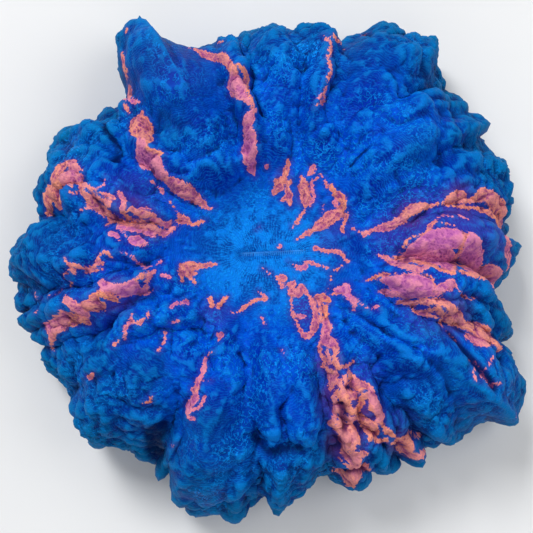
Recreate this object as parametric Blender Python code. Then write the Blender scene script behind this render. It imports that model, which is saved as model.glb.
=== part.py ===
"""Acanthophyllia coral: one large fleshy polyp, cut off flat where it grew on the rock.

The polyp is a single piece of flesh: a smooth disc with a slit mouth, a ring of puffy lobes
around it, a lumpy rim that overhangs, and an underside that curls in to the flat cut.
Tables are in millimetres, centred on the mouth, +X right and +Y away. The finished mesh is in
metres, with its origin at the middle of the flat base.
"""

import math

import bmesh
import bpy
import numpy as np
from mathutils import Vector, noise

# Driving dimensions, in millimetres unless a name says otherwise.
METRES_PER_MM = 0.001
RIM_RADIUS = 56.0            # mean radius of the rim, before the lobes swell it
DISC_CELLS = 34              # cells along each side of the square patch around the mouth
SIDE_ROWS = 25               # rows of cells from that patch out over the rim to the cut
PATCH_SHARE = 0.40           # how far along the profile the square patch reaches
OUTLINE_INSET = 2.6          # the lobes swell the rim outwards by about this much
FOLD_SOFTNESS = 0.8          # how far two folds blend where they meet
LOBE_SOFTNESS = 0.5          # the same for the lobes that sit on them
LOBE_SHARE = 0.55            # the lobes' heights, as a share of the table's
DOME_POWER = 0.7             # 0.5 is a ball with steep sides, 1 a flatter mound
DISC_EDGE = (7.0, 22.0)      # the folds rise between these distances from the mouth
DISC_STRETCH = 0.78          # the disc is longer along the slit than across it
WANDER = [(14.0, 2.6), (5.0, 0.9)]   # how the creases wander: size of the bends, how far
WANDER_SEED = 23             # fixes the bends, so that every run gives the same polyp
MOUTH_HALF_LENGTH = 6.7
MOUTH_HALF_WIDTH = 1.3
MOUTH_DEPTH = 1.6
RIM_LUMP_SIZE = 7.5          # spacing of the small lumps along the rim
RIM_LUMP_HEIGHT = 2.0
FOOT_FADE_HEIGHT = 5.0       # the lumps fade out over this height above the cut
POLYP_COLOUR = (0.0, 0.13, 0.60, 1.0)

# Cross-section from the mouth to the edge of the cut: share of the rim radius, height.
PROFILE = [
    (0.00, 26.4), (0.10, 26.3), (0.20, 26.3), (0.30, 27.0), (0.42, 28.6), (0.55, 29.4),
    (0.68, 28.4), (0.80, 25.2), (0.90, 20.2), (0.97, 14.2), (1.00, 9.8), (0.975, 6.0),
    (0.90, 3.2), (0.80, 1.4), (0.70, 0.0),
]

# Rim as seen from above, going round from the east: x, y.
OUTLINE = [
    (56.8, 1.0), (57.4, 3.5), (55.8, 6.0), (56.6, 10.0), (59.0, 14.5), (56.0, 18.5), (54.4, 22.5),
    (53.0, 25.5), (49.5, 29.4), (50.6, 31.8), (46.8, 35.0), (44.6, 38.4), (42.0, 44.3), (41.0, 50.8),
    (36.0, 53.2), (31.0, 54.4), (27.0, 55.4), (21.0, 53.6), (16.0, 55.6), (10.0, 55.0), (4.0, 55.4),
    (-3.0, 54.4), (-8.0, 56.0), (-13.0, 52.2), (-17.0, 49.8), (-21.2, 49.6), (-25.0, 50.6),
    (-28.2, 53.8), (-31.2, 58.6), (-33.6, 56.5), (-35.2, 52.0), (-34.8, 47.0), (-34.4, 43.0),
    (-34.2, 39.6), (-38.6, 35.8), (-44.0, 31.6), (-47.4, 27.8), (-50.5, 23.8), (-52.4, 18.2),
    (-53.4, 12.0), (-58.2, 6.0), (-60.2, 0.0), (-60.6, -4.0), (-59.8, -11.2), (-55.8, -17.2),
    (-53.3, -23.0), (-49.5, -28.0), (-45.6, -32.6), (-42.2, -37.0), (-36.6, -40.0), (-30.4, -43.2),
    (-24.8, -46.2), (-22.9, -47.4), (-24.6, -51.8), (-21.5, -55.0), (-16.2, -58.2), (-10.5, -56.6),
    (-7.5, -55.6), (-3.5, -57.4), (-0.5, -56.2), (2.0, -59.4), (5.0, -56.4), (10.0, -52.9),
    (15.5, -51.0), (19.5, -52.4), (24.0, -48.0), (29.5, -46.0), (34.6, -46.4), (37.5, -44.6),
    (41.0, -44.0), (44.2, -38.8), (50.5, -35.6), (55.0, -36.6), (58.6, -35.6), (59.4, -31.0),
    (59.6, -25.0), (55.4, -19.4), (55.2, -13.5), (53.4, -8.2), (56.0, -3.0),
]

# The big folds of flesh: x, y, half length, half width, heading in degrees, height.
FOLDS = [
    (-19.0, 37.0, 17.0, 13.5, 120, 7.0),     # the mound that runs out to the horn
    (-6.0, 33.0, 17.0, 3.6, -76, 5.0), (1.0, 39.0, 18.0, 7.0, 92, 4.6),
    (10.5, 38.0, 18.0, 5.4, 96, 4.8), (25.0, 44.0, 16.0, 11.0, 55, 6.2),
    (27.0, 23.0, 15.0, 10.5, 42, 6.0), (45.0, 27.0, 13.0, 9.0, -50, 4.4),
    (41.0, 15.0, 15.0, 5.6, 12, 4.6), (40.0, 3.5, 19.0, 8.0, 3, 6.2),
    (37.0, -8.5, 19.0, 5.0, -20, 4.8), (40.0, -28.0, 21.0, 12.0, -35, 6.4),
    (25.0, -18.0, 11.0, 6.5, -40, 4.6), (18.5, -35.0, 20.0, 6.6, -66, 5.0),
    (4.0, -31.0, 22.0, 8.0, -90, 5.2), (-12.0, -38.0, 21.0, 9.5, -97, 6.4),
    (-28.0, -29.0, 17.0, 11.5, -130, 6.0), (-37.0, -10.5, 18.0, 5.6, 20, 5.2),
    (-24.0, -15.0, 9.0, 5.0, 28, 4.0), (-42.0, 0.0, 16.0, 8.0, 0, 5.6),
    (-36.0, 11.0, 18.0, 6.4, -22, 5.0), (-41.0, 24.0, 15.0, 9.0, -40, 4.6),
    (-16.0, 19.0, 13.0, 6.0, 10, 3.6),
]

# The lobes on them: x, y, half length, half width, heading, height, lean towards the heading.
LOBES = [
    # north: the column of lumps that runs in to the mouth, and the folded ridge beside it
    (1.0, 24.5, 6.5, 4.0, 95, 4.5, 0.2), (1.0, 32.5, 5.0, 4.6, 90, 6.5, 0.0),
    (0.0, 40.5, 7.5, 5.8, 90, 6.5, 0.0), (-2.0, 49.5, 6.5, 6.0, 0, 4.5, 0.0),
    (-5.0, 25.5, 8.0, 3.0, 92, 6.0, 0.2), (-8.0, 37.5, 7.0, 3.2, -65, 7.5, 0.0),
    (-13.5, 45.0, 7.0, 3.4, -32, 6.0, 0.0),
    (9.5, 31.0, 10.0, 3.8, 97, 7.0, 0.1), (8.5, 44.0, 8.5, 5.0, 100, 6.5, 0.0),
    (6.0, 52.0, 6.5, 5.0, 0, 4.0, 0.0), (13.5, 52.0, 5.5, 4.6, 20, 4.0, 0.0),
    (12.5, 22.5, 6.0, 3.6, 70, 4.5, 0.2),
    # north-east
    (22.0, 42.5, 9.5, 8.5, 40, 8.0, 0.0), (19.5, 31.0, 6.8, 6.4, 60, 7.5, 0.0),
    (19.0, 51.5, 6.5, 4.4, -5, 4.5, 0.0), (28.0, 52.0, 7.0, 6.2, 0, 5.0, 0.0),
    (37.5, 47.5, 6.5, 5.2, -40, 4.8, 0.0), (33.5, 42.5, 6.5, 5.0, 60, 6.5, 0.0),
    (41.5, 40.0, 6.0, 4.0, -55, 3.6, 0.0), (34.5, 32.0, 6.0, 5.2, 20, 6.5, 0.0),
    (46.0, 32.5, 6.0, 4.2, -25, 5.0, 0.0), (43.5, 25.5, 6.5, 5.2, 10, 5.6, 0.0),
    (51.0, 25.0, 5.6, 4.8, 80, 4.0, 0.0), (27.5, 27.0, 6.0, 5.5, 30, 7.0, 0.0),
    (25.0, 18.5, 7.5, 6.5, 30, 7.5, 0.1), (36.5, 23.0, 7.0, 5.8, 50, 7.0, 0.0),
    (21.0, 11.5, 6.5, 5.4, 40, 5.5, 0.2), (29.5, 12.5, 5.8, 4.6, 30, 6.5, 0.0),
    (37.0, 15.5, 6.5, 4.2, 60, 6.5, 0.0), (46.0, 18.0, 8.5, 5.6, 20, 6.5, 0.0),
    (53.0, 17.0, 5.5, 5.0, 60, 4.0, 0.0),
    # east: a broad folded lobe under a raised upper edge
    (26.5, 7.6, 6.5, 2.4, 28, 5.6, 0.1), (36.5, 11.0, 7.5, 2.8, 14, 7.0, 0.0),
    (47.5, 12.0, 8.0, 3.4, 0, 6.2, 0.0), (55.0, 8.0, 4.5, 4.5, -60, 3.8, 0.0),
    (27.5, 2.2, 8.5, 3.8, 10, 5.0, 0.1), (37.5, 1.0, 9.5, 5.2, 0, 8.0, 0.1),
    (48.0, -0.5, 7.5, 6.4, -20, 6.8, 0.0), (55.5, 0.5, 4.0, 6.0, 0, 3.4, 0.0),
    (30.0, -6.3, 9.0, 3.6, -8, 6.6, 0.0), (39.5, -7.6, 6.0, 3.4, -15, 5.6, 0.0),
    (48.5, -11.5, 7.5, 5.2, -30, 5.2, 0.0), (34.0, -11.8, 6.0, 2.6, -32, 6.2, 0.0),
    (41.0, -15.3, 6.0, 2.8, -28, 6.4, 0.0), (48.0, -18.3, 6.5, 3.8, -25, 6.0, 0.0),
    (20.0, 0.5, 6.0, 3.6, 0, 2.6, 0.3),
    # south-east: the large smooth fan that runs out to the point
    (17.5, -8.5, 5.0, 3.6, -20, 4.0, 0.2), (22.5, -11.5, 5.0, 3.8, -20, 5.0, 0.0),
    (27.0, -14.5, 5.6, 4.2, -30, 5.8, 0.0), (18.5, -19.0, 4.8, 4.4, 0, 5.5, 0.0),
    (25.5, -22.5, 6.2, 4.8, -40, 7.0, 0.0), (33.5, -20.0, 7.0, 4.6, -25, 7.0, 0.0),
    (40.5, -25.5, 10.0, 6.5, -25, 8.5, 0.0), (32.0, -30.5, 10.0, 4.6, -55, 6.8, 0.0),
    (49.0, -28.0, 8.5, 7.0, -40, 6.5, 0.0), (41.0, -35.0, 9.0, 5.0, -40, 6.0, 0.0),
    (51.5, -34.5, 8.0, 4.6, -10, 4.6, 0.0), (54.0, -24.5, 5.5, 6.0, 0, 4.0, 0.0),
    (37.5, -41.0, 6.0, 4.2, -30, 4.0, 0.0),
    # south: narrow fingers that run straight out from the mouth
    (8.2, -13.5, 6.5, 3.2, -76, 4.2, 0.1), (13.2, -20.5, 7.5, 3.0, -83, 6.2, 0.0),
    (14.0, -28.5, 5.0, 2.6, -88, 6.8, 0.0), (19.0, -28.5, 6.0, 3.2, -62, 7.0, 0.0),
    (24.0, -34.0, 5.5, 3.6, -60, 6.4, 0.0), (14.5, -37.0, 6.0, 3.4, -75, 6.4, 0.0),
    (20.0, -38.5, 6.0, 3.0, -62, 5.6, 0.0), (17.5, -45.5, 6.5, 4.2, -80, 4.8, 0.0),
    (25.5, -43.0, 5.5, 3.8, -30, 4.2, 0.0), (32.0, -42.5, 5.0, 3.6, -30, 4.2, 0.0),
    (6.2, -27.0, 11.5, 3.6, -88, 6.6, 0.0), (-1.0, -24.5, 13.5, 4.4, -91, 6.4, 0.1),
    (8.0, -41.0, 7.5, 5.4, -80, 5.6, 0.0), (0.5, -43.0, 7.5, 5.2, -85, 5.8, 0.0),
    (9.0, -48.5, 6.5, 4.6, -20, 3.6, 0.0), (2.0, -52.5, 5.5, 3.6, -88, 3.8, 0.0),
    # south-west: a smooth swollen tongue over a lumpy skirt
    (-8.5, -19.0, 9.5, 4.6, -85, 5.6, 0.1), (-10.0, -33.0, 9.5, 6.6, -88, 7.4, 0.0),
    (-13.0, -43.5, 10.0, 8.2, -100, 7.6, 0.0), (-9.5, -51.5, 6.5, 5.6, -20, 4.6, 0.0),
    (-19.5, -50.5, 6.0, 5.2, 60, 4.8, 0.0), (-15.5, -55.0, 4.4, 3.6, -70, 2.6, 0.0),
    (-16.5, -23.0, 7.5, 3.8, -70, 6.2, 0.0), (-23.0, -32.5, 7.0, 4.4, 78, 7.0, 0.0),
    (-32.5, -31.5, 8.4, 8.0, 0, 7.8, 0.0), (-33.0, -21.0, 8.0, 4.6, 10, 7.0, 0.0),
    (-24.0, -24.0, 5.5, 4.4, -40, 6.4, 0.0), (-41.0, -22.0, 6.2, 5.6, 30, 5.8, 0.0),
    (-42.5, -31.0, 6.0, 5.4, 40, 4.6, 0.0), (-36.0, -39.0, 6.5, 4.2, -30, 3.8, 0.0),
    (-27.5, -41.5, 6.5, 4.4, -25, 4.6, 0.0), (-48.0, -23.0, 5.0, 5.0, 0, 3.6, 0.0),
    # west: folds that run in to the disc between swollen cushions
    (-47.5, -14.6, 6.5, 3.8, 18, 5.8, 0.0), (-38.5, -10.3, 6.5, 3.6, 25, 7.0, 0.0),
    (-30.0, -7.0, 6.5, 3.4, 18, 7.0, 0.0), (-27.0, -15.0, 5.0, 3.9, 20, 6.2, 0.0),
    (-19.5, -13.0, 5.0, 3.8, 30, 5.2, 0.0), (-13.0, -11.5, 4.4, 3.0, 0, 3.2, 0.0),
    (-21.5, -6.0, 5.0, 3.2, 10, 4.2, 0.2), (-46.0, 0.5, 8.2, 7.8, 0, 7.2, 0.0),
    (-36.0, -2.5, 5.6, 3.8, -10, 6.2, 0.0), (-28.0, 1.2, 7.6, 4.0, 0, 6.2, 0.1),
    (-27.5, 8.4, 9.0, 3.2, -10, 6.8, 0.0), (-38.0, 8.6, 5.6, 4.0, -35, 6.4, 0.0),
    (-31.0, 14.5, 6.2, 4.2, -30, 6.6, 0.0), (-54.0, -5.0, 5.6, 5.6, 0, 4.0, 0.0),
    (-54.0, 4.5, 5.5, 5.0, 0, 4.0, 0.0), (-53.0, -12.5, 5.0, 4.4, 30, 3.8, 0.0),
    (-47.5, 12.5, 6.8, 4.6, 60, 5.6, 0.0), (-39.5, 17.0, 6.0, 4.8, 20, 6.4, 0.0),
    # north-west: the tall mound that runs out to the horn
    (-45.5, 21.5, 6.0, 5.4, 40, 4.8, 0.0), (-42.5, 29.0, 6.2, 4.8, 40, 4.2, 0.0),
    (-34.5, 25.0, 6.0, 4.6, 30, 6.4, 0.0), (-35.5, 33.5, 5.0, 4.2, 40, 4.8, 0.0),
    (-28.0, 27.5, 4.8, 4.4, 90, 6.6, 0.0), (-26.0, 20.5, 6.0, 3.6, -45, 6.6, 0.0),
    (-19.5, 14.6, 7.5, 3.0, -35, 5.6, 0.1), (-12.0, 17.5, 8.5, 4.6, 32, 6.2, 0.0),
    (-16.5, 24.0, 8.0, 5.0, 40, 7.4, 0.0), (-19.5, 36.0, 13.0, 12.0, 120, 9.6, 0.0),
    (-27.5, 46.5, 10.5, 6.4, 118, 6.6, 0.0), (-30.5, 53.0, 5.5, 3.6, 112, 3.8, 0.0),
]


def curve_through(points, steps_between):
    """Catmull-Rom curve through the points, as an array."""
    knots = np.array(points, dtype=float)
    padded = np.vstack([2 * knots[0] - knots[1], knots, 2 * knots[-1] - knots[-2]])
    share = np.linspace(0, 1, steps_between, endpoint=False)[:, None]
    pieces = []
    for p0, p1, p2, p3 in zip(padded, padded[1:], padded[2:], padded[3:]):
        pieces.append(0.5 * (2 * p1 + (p2 - p0) * share
                             + (2 * p0 - 5 * p1 + 4 * p2 - p3) * share ** 2
                             + (3 * p1 - p0 - 3 * p2 + p3) * share ** 3))
    return np.vstack(pieces + [knots[-1:]])


def smooth_step(low, high, value):
    """0 below low, 1 above high, with soft ends."""
    share = np.clip((value - low) / (high - low), 0.0, 1.0)
    return share * share * (3 - 2 * share)


def rim_radii():
    """The rim's radius at every half degree: as traced, and smoothed for the inner flesh."""
    rim = np.array(OUTLINE)
    bearing = np.linspace(-math.pi, math.pi, 721)[:-1]
    traced = np.interp(bearing, np.arctan2(rim[:, 1], rim[:, 0]), np.hypot(rim[:, 0], rim[:, 1]),
                       period=2 * math.pi) - OUTLINE_INSET
    offsets = np.arange(-40, 41)
    weights = np.exp(-0.5 * (offsets / 18.0) ** 2)
    smoothed = sum(w * np.roll(traced, k) for w, k in zip(weights, offsets)) / weights.sum()
    return bearing, traced, smoothed


def swelling(x, y, mounds, softness):
    """Height of the mounds in a table, creased where they meet."""
    total = np.ones_like(x)
    for cx, cy, half_length, half_width, heading, height, *lean in mounds:
        turn = math.radians(heading)
        along = ((x - cx) * math.cos(turn) + (y - cy) * math.sin(turn)) / half_length
        across = ((y - cy) * math.cos(turn) - (x - cx) * math.sin(turn)) / half_width
        dome = np.clip(1 - along ** 2 - across ** 2, 0, None) ** DOME_POWER
        total += np.expm1(height * (1 + sum(lean) * along) * dome / softness)
    return softness * np.log(total)


def wander(points):
    """Push points about sideways, so that the creases don't run true."""
    moved = points.copy()
    for size, distance in WANDER:
        moved += distance * np.array([noise.noise_vector(Vector(p / size))[:] for p in points])
    return moved


def lumps(points, spacing):
    """Rounded lumps packed at random in space, from 0 in the clefts to 1 on top."""
    nearest = np.array([noise.voronoi(Vector(p / spacing))[0][0] for p in points])
    return np.sqrt(np.clip(1 - (nearest / 0.95) ** 2, 0, 1))


def flesh(cage):
    """Move the cage's corners onto the polyp: cage is x, y of a square and the row below it."""
    square = np.maximum(np.abs(cage[:, 0]), np.abs(cage[:, 1]))
    diagonal = np.where(square > 0, square, 1.0)
    across, upward = cage[:, 0] / diagonal, cage[:, 1] / diagonal
    on_side = np.abs(across) >= np.abs(upward)
    bearing = np.where(on_side,
                       np.where(across >= 0, 0, math.pi) + math.pi / 4 * upward * np.sign(across),
                       np.sign(upward) * math.pi / 2 - math.pi / 4 * across * np.sign(upward))
    share = square * PATCH_SHARE + (1 - PATCH_SHARE) * -cage[:, 2] / SIDE_ROWS

    section = curve_through(PROFILE, 12)
    steps = np.hypot(np.diff(section[:, 0]) * RIM_RADIUS, np.diff(section[:, 1]))
    reach = np.concatenate([[0], np.cumsum(steps)]) / steps.sum()
    slope = np.gradient(section * [RIM_RADIUS, 1], reach, axis=0)
    slope /= np.linalg.norm(slope, axis=1)[:, None]
    out, height = (np.interp(share, reach, section[:, k]) for k in (0, 1))
    lift_out, lift_up = (np.interp(share, reach, k) for k in (-slope[:, 1], slope[:, 0]))

    angles, traced, smoothed = rim_radii()
    traced, smoothed = (np.interp(bearing, angles, k, period=2 * math.pi) for k in (traced, smoothed))
    radius = out * smoothed + (traced - smoothed) * smooth_step(0.55, 1.0, out)
    east, north = np.cos(bearing), np.sin(bearing)
    x, y = radius * east, radius * north

    under = smooth_step(PATCH_SHARE, 1.0, share)
    near_rim = smooth_step(0.72, 0.95, out)
    wandered = wander(np.stack([x, y, height], axis=1))
    lift = swelling(wandered[:, 0], wandered[:, 1], FOLDS, FOLD_SOFTNESS)
    lift += LOBE_SHARE * swelling(wandered[:, 0], wandered[:, 1], LOBES, LOBE_SOFTNESS / LOBE_SHARE)
    lift *= (1 - 0.45 * under) * smooth_step(*DISC_EDGE, np.hypot(DISC_STRETCH * x, y))
    lift += RIM_LUMP_HEIGHT * near_rim * lumps(wandered, RIM_LUMP_SIZE)
    slit = (x / MOUTH_HALF_LENGTH) ** 2 + (y / MOUTH_HALF_WIDTH) ** 2
    lift -= MOUTH_DEPTH * np.exp(-slit)
    lift *= smooth_step(0, FOOT_FADE_HEIGHT, height)
    return np.stack([x + lift * lift_out * east, y + lift * lift_out * north,
                     np.clip(height + lift * lift_up, 0, None)], axis=1)


def polyp_cage(mesh_edit):
    """An open-bottomed square post: a gridded top with rows of cells drawn down from its edge."""
    bmesh.ops.create_grid(mesh_edit, x_segments=DISC_CELLS, y_segments=DISC_CELLS, size=1.0)
    edge = [e for e in mesh_edit.edges if e.is_boundary]
    for row in range(1, SIDE_ROWS + 1):
        drawn = bmesh.ops.extrude_edge_only(mesh_edit, edges=edge)["geom"]
        for corner in (g for g in drawn if isinstance(g, bmesh.types.BMVert)):
            corner.co.z = -row
        edge = [g for g in drawn if isinstance(g, bmesh.types.BMEdge) and g.is_boundary]
    bmesh.ops.edgeloop_fill(mesh_edit, edges=edge)


def polyp_material():
    material = bpy.data.materials.new("coral_flesh")
    material.use_nodes = True
    shader = material.node_tree.nodes["Principled BSDF"]
    shader.inputs["Base Color"].default_value = POLYP_COLOUR
    shader.inputs["Roughness"].default_value = 0.55
    shader.inputs["Metallic"].default_value = 0.0
    return material


def make_polyp(collection):
    mesh_edit = bmesh.new()
    polyp_cage(mesh_edit)
    points = flesh(np.array([corner.co[:] for corner in mesh_edit.verts]))
    middle = (points.min(axis=0) + points.max(axis=0)) / 2
    points -= [middle[0], middle[1], 0]
    for corner, point in zip(mesh_edit.verts, points):
        corner.co = point * METRES_PER_MM
    bmesh.ops.recalc_face_normals(mesh_edit, faces=mesh_edit.faces)

    mesh = bpy.data.meshes.new("coral_polyp")
    mesh_edit.to_mesh(mesh)
    mesh_edit.free()
    mesh.shade_smooth()
    mesh.materials.append(polyp_material())
    polyp = bpy.data.objects.new("coral_polyp", mesh)
    collection.objects.link(polyp)
    return polyp


def main():
    noise.seed_set(WANDER_SEED)
    for old in list(bpy.data.objects):
        bpy.data.objects.remove(old)
    collection = bpy.data.collections.new("acanthophyllia_coral")
    bpy.context.scene.collection.children.link(collection)
    make_polyp(collection)


main()
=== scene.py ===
"""Looks of the acanthophyllia coral: its fine flesh, its colours, a pale floor and soft light."""

import math

import bpy
import numpy as np
from mathutils import Matrix, Vector, noise


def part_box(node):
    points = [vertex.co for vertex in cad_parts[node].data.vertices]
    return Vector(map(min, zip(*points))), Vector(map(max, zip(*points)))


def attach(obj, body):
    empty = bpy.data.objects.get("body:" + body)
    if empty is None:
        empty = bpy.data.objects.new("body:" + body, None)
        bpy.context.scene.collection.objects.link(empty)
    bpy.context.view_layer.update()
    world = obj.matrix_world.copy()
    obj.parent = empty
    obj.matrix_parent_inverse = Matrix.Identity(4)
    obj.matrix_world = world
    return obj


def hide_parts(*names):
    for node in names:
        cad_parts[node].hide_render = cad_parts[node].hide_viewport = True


# ---------------------------------------------------------------------------------------------
# Form. Millimetres, centred on the mouth, +X right and +Y away. PROFILE, FOLDS and LOBES are the
# ones that the CAD solid is built from, so the fine flesh lies on it. "Out" is a share of the
# rim radius.

METRES_PER_MM = 0.001
RIM_RADIUS = 56.0
DISC_CELLS = 160             # cells along each side of the square patch around the mouth
SIDE_ROWS = 112              # rows of cells from that patch out over the rim to the cut
PATCH_SHARE = 0.40           # how far along the profile the square patch reaches
ROW_CROWDING = 0.45          # how much closer the rows are above the rim than under it
PROFILE_STEPS = 12           # steps between two points of the profile
OUTLINE_INSET = 5.0          # room left for the lumps on the rim
OUTLINE_BEARINGS = 720       # bearings at which the outline is read
OUTLINE_BLUR = (18.0, 40)    # spread and reach of its smoothing, in those bearings
OUTLINE_FROM = (0.55, 0.78)  # how far out the flesh starts to follow it, above and under the rim

FOLD_SOFTNESS = 1.4          # how softly mounds meet
LOBE_SOFTNESS = 0.9
LOBE_SHARE = 0.55            # of the lobes' heights in their table that is used
DOME_POWER = 0.85            # of a mound's rounding over its crest
OUTWARD_POWER = 0.3          # how much rounder it is on its outer side, and gentler inwards
OUTWARD_SWELL = 0.2          # how much taller it is on its outer side
FOLD_EDGE_WEIGHT = 0.25      # of a fold's height against a lobe's, in telling whose edge is near
OUTWARD_LEAN = 0.22          # how far the flesh leans outwards, as a share of its height
UNDER_FLATTER = 0.45         # how much lower the mounds are down at the cut
DISC_EDGE = (7.0, 22.0)      # the mounds rise between these distances from the mouth
DISC_STRETCH = 0.78          # of X in those distances, because the disc is longer that way
WANDER = [(14.0, 2.6), (6.0, 1.7), (2.3, 0.4)]   # how creases wander: size of the bends, how far
WANDER_SEED = 23             # the CAD solid's own, so that its creases and these agree

OUTER_FLESH = (0.35, 0.9)    # how far out the flesh turns rough
OFF_DISC = (0.15, 0.4)       # how far out the ruffles start
NEAR_RIM = (0.72, 0.95)      # how far out the rim's lumps start
PLEATS = [(4.2, 1.1), (2.0, 0.7)]   # radial pleats: spacing and height
PLEATS_START = (9.0, 18.0)   # distance from the mouth
PLEAT_RING = (12.0, 0.5)     # they are spaced as on a ring: its radius, and its growth outwards
PLEAT_BENDS = (3.1, 0.8)     # size of their bends, how far
PLEAT_STRETCH = 2.3          # how much longer than broad they are
PLEAT_FADE = 0.6             # how much lower they are on the outer flesh
RUFFLES = [(6.6, 2.4), (3.0, 0.9), (1.5, 0.35)]   # ruffles towards the rim: size and height
RUFFLES_INNER = 0.25         # their height near the disc, as a share
RIDGES = (7.0, 0.8)          # thin crests on the ruffles: size and height
RIDGES_INNER = 0.3           # the same for them
RIDGES_FADE = 0.6            # how much lower they are at the rim
RIDGE_SHARPNESS = 2.2        # how narrow the crests are
MOUTH_HALF_LENGTH = 6.7
MOUTH_HALF_WIDTH = 0.8
MOUTH_DEPTH = 1.2
RIM_LUMP_SIZE = 7.5
RIM_LUMP_HEIGHT = 1.6
SCALLOP_SPREAD = 0.9         # how broad a lump is: square of its radius, in spacings
SCALLOP_LIP = 0.8            # how much taller the lumps are at their outward lip
FOOT_FADE_HEIGHT = 5.0       # all relief fades out below this height

PROFILE = [
    (0.00, 26.4), (0.10, 26.3), (0.20, 26.3), (0.30, 27.0), (0.42, 28.6), (0.55, 29.4),
    (0.68, 28.4), (0.80, 25.2), (0.90, 20.2), (0.97, 14.2), (1.00, 9.8), (0.975, 6.0),
    (0.90, 3.2), (0.80, 1.4), (0.70, 0.0),
]

# Rim as seen from above, going round from the east: x, y.
OUTLINE = [
    (55.2, 1.0), (57.4, 3.5), (55.8, 6.0), (56.6, 10.0), (59.0, 14.5), (54.8, 18.2), (54.4, 22.5),
    (52.4, 25.2), (48.6, 28.9), (50.6, 31.8), (46.8, 35.0), (46.0, 39.6), (43.6, 46.0), (41.0, 50.8),
    (35.2, 52.0), (29.8, 52.4), (26.4, 54.0), (21.0, 53.6), (16.0, 55.6), (10.0, 55.0), (4.0, 55.4),
    (-3.0, 54.4), (-8.0, 56.0), (-13.0, 52.0), (-16.8, 48.4), (-20.8, 47.4), (-24.6, 49.2),
    (-27.4, 52.6), (-29.8, 56.2), (-33.0, 57.0), (-36.0, 52.6), (-35.8, 47.4), (-34.4, 43.0),
    (-34.2, 39.6), (-40.0, 37.1), (-44.0, 31.6), (-47.4, 27.8), (-50.5, 23.8), (-52.4, 18.2),
    (-53.4, 12.0), (-56.8, 6.0), (-58.2, 0.0), (-60.0, -4.0), (-60.4, -11.4), (-52.0, -16.4),
    (-54.6, -23.6), (-50.8, -28.8), (-45.6, -32.6), (-42.2, -37.0), (-36.6, -40.0), (-30.4, -43.2),
    (-25.8, -48.0), (-23.8, -49.2), (-25.6, -52.4), (-21.2, -53.6), (-15.4, -55.2), (-10.0, -54.0),
    (-7.8, -57.4), (-3.6, -59.0), (-0.5, -56.2), (2.0, -59.4), (5.0, -55.8), (10.0, -51.4),
    (16.3, -52.2), (20.4, -53.6), (24.0, -48.0), (30.4, -46.6), (36.6, -49.1), (37.5, -44.6),
    (40.8, -44.6), (42.6, -38.6), (46.4, -36.0), (51.6, -36.2), (56.0, -37.2), (56.0, -34.0),
    (57.6, -30.0), (59.6, -25.0), (54.4, -19.2), (55.2, -13.5), (54.6, -8.2), (56.4, -3.2),
]

# The big folds of flesh: x, y, half length, half width, heading in degrees, height.
FOLDS = [
    (-19.0, 37.0, 17.0, 13.5, 120, 7.0),     # the mound that runs out to the horn
    (-6.0, 33.0, 17.0, 3.6, -76, 5.0), (1.0, 39.0, 18.0, 7.0, 92, 4.6),
    (10.5, 38.0, 18.0, 5.4, 96, 4.8), (25.0, 44.0, 16.0, 11.0, 55, 6.2),
    (27.0, 23.0, 15.0, 10.5, 42, 6.0), (45.0, 27.0, 13.0, 9.0, -50, 4.4),
    (41.0, 15.0, 15.0, 5.6, 12, 4.6), (40.0, 3.5, 19.0, 8.0, 3, 6.2),
    (37.0, -8.5, 19.0, 5.0, -20, 4.8), (40.0, -28.0, 21.0, 12.0, -35, 6.4),
    (25.0, -18.0, 11.0, 6.5, -40, 4.6), (18.5, -35.0, 20.0, 6.6, -66, 5.0),
    (4.0, -31.0, 22.0, 8.0, -90, 5.2), (-12.0, -38.0, 21.0, 9.5, -97, 6.4),
    (-28.0, -29.0, 17.0, 11.5, -130, 6.0), (-37.0, -10.5, 18.0, 5.6, 20, 5.2),
    (-24.0, -15.0, 9.0, 5.0, 28, 4.0), (-42.0, 0.0, 16.0, 8.0, 0, 5.6),
    (-36.0, 11.0, 18.0, 6.4, -22, 5.0), (-41.0, 24.0, 15.0, 9.0, -40, 4.6),
    (-16.0, 19.0, 13.0, 6.0, 10, 3.6),
]

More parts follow.
